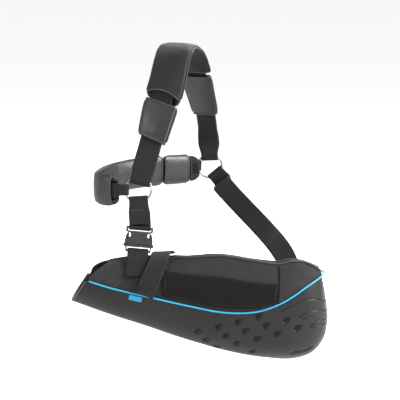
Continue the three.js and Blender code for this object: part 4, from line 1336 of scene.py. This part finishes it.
def anchor_route():
    bar, square = beside_buckle(BAR_BOTTOM + 1.5, 0)

    def layer(t, lift):
        leaving = max(0, (t - 0.42) / 0.38)
        point, across = on_near_panel((1.45 + 0.36 * (0.8 - t)) / LAST, t, lift + 3 * leaving**1.5)
        share = min(1, leaving * 0.9)
        return point, unit(across * (1 - share) + square * share)

    arriving, side = vec(0, 0.72, 0.69), vec(0, -0.69, 0.72)
    turn = [(-6, -1.8), (-2.4, -3.4), (0.2, -3.8), (2.8, -2.7), (3.8, 0)]
    turn += [(2.8, 2.7), (0.2, 3.8), (-2.4, 3.7), (-6.5, 3.2)]
    under = [layer(t, 1.4) for t in (0.4, 0.49, 0.58, 0.67, 0.76)]
    over = [layer(t, 4.0) for t in (0.71, 0.62, 0.53, 0.44, 0.35)]
    return Route(under + [(bar + arriving * a + side * b, square) for a, b in turn] + over)


ANCHOR_WIDE, ANCHOR_THICK = 35, 1.6
route = anchor_route()
piece = webbing("anchor_strap_woven", route, ANCHOR_WIDE, WEBBING, 17.0, thick=ANCHOR_THICK)
put(piece, "trough", "anchor_strap")
put(box_stitch("anchor_strap_stitch", route, route.length - 20, route.length - 3, 14, 0.95), "trough")

# ---- The wrist closure ----
CLOSURE_WIDE = 31
closure_route = Route(
    [
        ((-56, TROUGH_Y + 27, -79), (0.99, 0, 0.05)),
        ((-60, TROUGH_Y + 12, -72), (0.98, 0, 0.05)),
        ((-65, TROUGH_Y - 8, -71.5), (0.98, 0, 0)),
        ((-68, TROUGH_Y - 26, -78.5), (0.97, 0, -0.06)),
        ((-75, TROUGH_Y - 42, -94), (0.95, 0, -0.24)),
        ((-84, TROUGH_Y - 51.5, -114), (0.92, 0, -0.3)),
        ((-91.5, TROUGH_Y - 52.5, -132), (0.92, 0, -0.3)),
    ]
)
anchor = Route(
    [
        ((-55, TROUGH_Y + 34.5, -84), (1, 0, 0.02)),
        ((-54, TROUGH_Y + 49, -100), (1, 0, 0.02)),
        ((-53, TROUGH_Y + 54.5, -118), (1, 0, 0.02)),
        ((-52, TROUGH_Y + 54.5, -134), (1, 0, 0.02)),
    ]
)
piece = webbing("closure_strap_woven", closure_route, CLOSURE_WIDE, WEBBING_TAB, 18.0)
put(piece, "closure", "closure_strap")
tip, half = closure_route.length - 2, CLOSURE_WIDE / 2 - 1.7
places = ([(10, -half), (tip, -half)], [(tip - 0.5, -half), (tip - 0.5, half)], [(10, half), (tip, half)])
lines = [strap_line(closure_route, ends, 1.1) for ends in places]
put(threads("closure_strap_stitch", lines, THREAD_LIGHT, 2.6, 1.0, 0.5, 0.25), "closure")
piece = webbing("closure_anchor_woven", anchor, CLOSURE_WIDE, WEBBING_TAB, 19.0)
put(piece, "trough", "closure_anchor")
put(box_stitch("closure_anchor_stitch", anchor, 12, anchor.length - 3, 11, 1.1), "trough")

# ---- The buckle: the CAD nodes with rounded edges ----
for name in ("buckle_female", "buckle_male_base", "buckle_prong_left", "buckle_prong_right"):
    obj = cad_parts[name]
    bevel = obj.modifiers.new("rounded", "BEVEL")
    bevel.width = 0.0006
    bevel.segments = 3
    bevel.limit_method = "ANGLE"
    bevel.angle_limit = math.radians(28)
    obj.data.materials.clear()
    obj.data.materials.append(PLASTIC)
    for polygon in obj.data.polygons:
        polygon.material_index = 0

# ---- Stage ----
FLOOR_Z, FLOOR_REACH = -0.56, 40


def link(name, data):
    obj = bpy.data.objects.new(name, data)
    bpy.context.scene.collection.objects.link(obj)
    return obj


floor_mesh = bpy.data.meshes.new("floor")
corners = [(x * FLOOR_REACH, y * FLOOR_REACH, FLOOR_Z) for x, y in ((-1, -1), (1, -1), (1, 1), (-1, 1))]
floor_mesh.from_pydata(corners, [], [(0, 1, 2, 3)])
floor = link("floor", floor_mesh)
paper = Graph("floor_paper").done(Base_Color=(*grey(0.95), 1), Roughness=0.95, Specular_IOR_Level=0.1)
floor.data.materials.append(paper)
bpy.context.scene.view_settings.view_transform = "Standard"

world = bpy.data.worlds.new("studio")
bpy.context.scene.world = world
world.use_nodes = True
world.node_tree.nodes["Background"].inputs[0].default_value = (1, 1, 1, 1)
world.node_tree.nodes["Background"].inputs[1].default_value = 0.98

MIDDLE = (0.038, -0.055, -0.252)


def area_light(name, place, size, power):
    light = bpy.data.lights.new(name, "AREA")
    light.shape = "RECTANGLE"
    light.size, light.size_y = size
    light.energy = power
    obj = link(name, light)
    obj.location = place
    obj.rotation_euler = (Vector(MIDDLE) - Vector(place)).to_track_quat("-Z", "Y").to_euler()


area_light("key", (1.8, -0.7, 0.9), (0.45, 1.5), 110)
area_light("fill", (-1.7, -1.5, 0.6), (0.5, 1.2), 22)
area_light("rim", (0.6, 1.5, 0.9), (1.4, 0.6), 30)

camera_data = bpy.data.cameras.new("camera")
camera_data.sensor_width = 36
camera_data.lens = 136.05
camera = link("camera", camera_data)
ELEVATION, DISTANCE = math.radians(10), 2.6
offset = Vector((0, -math.cos(ELEVATION), math.sin(ELEVATION))) * DISTANCE
camera.location = Vector(MIDDLE) + offset
camera.rotation_euler = (-offset).to_track_quat("-Z", "Y").to_euler()
bpy.context.scene.camera = camera
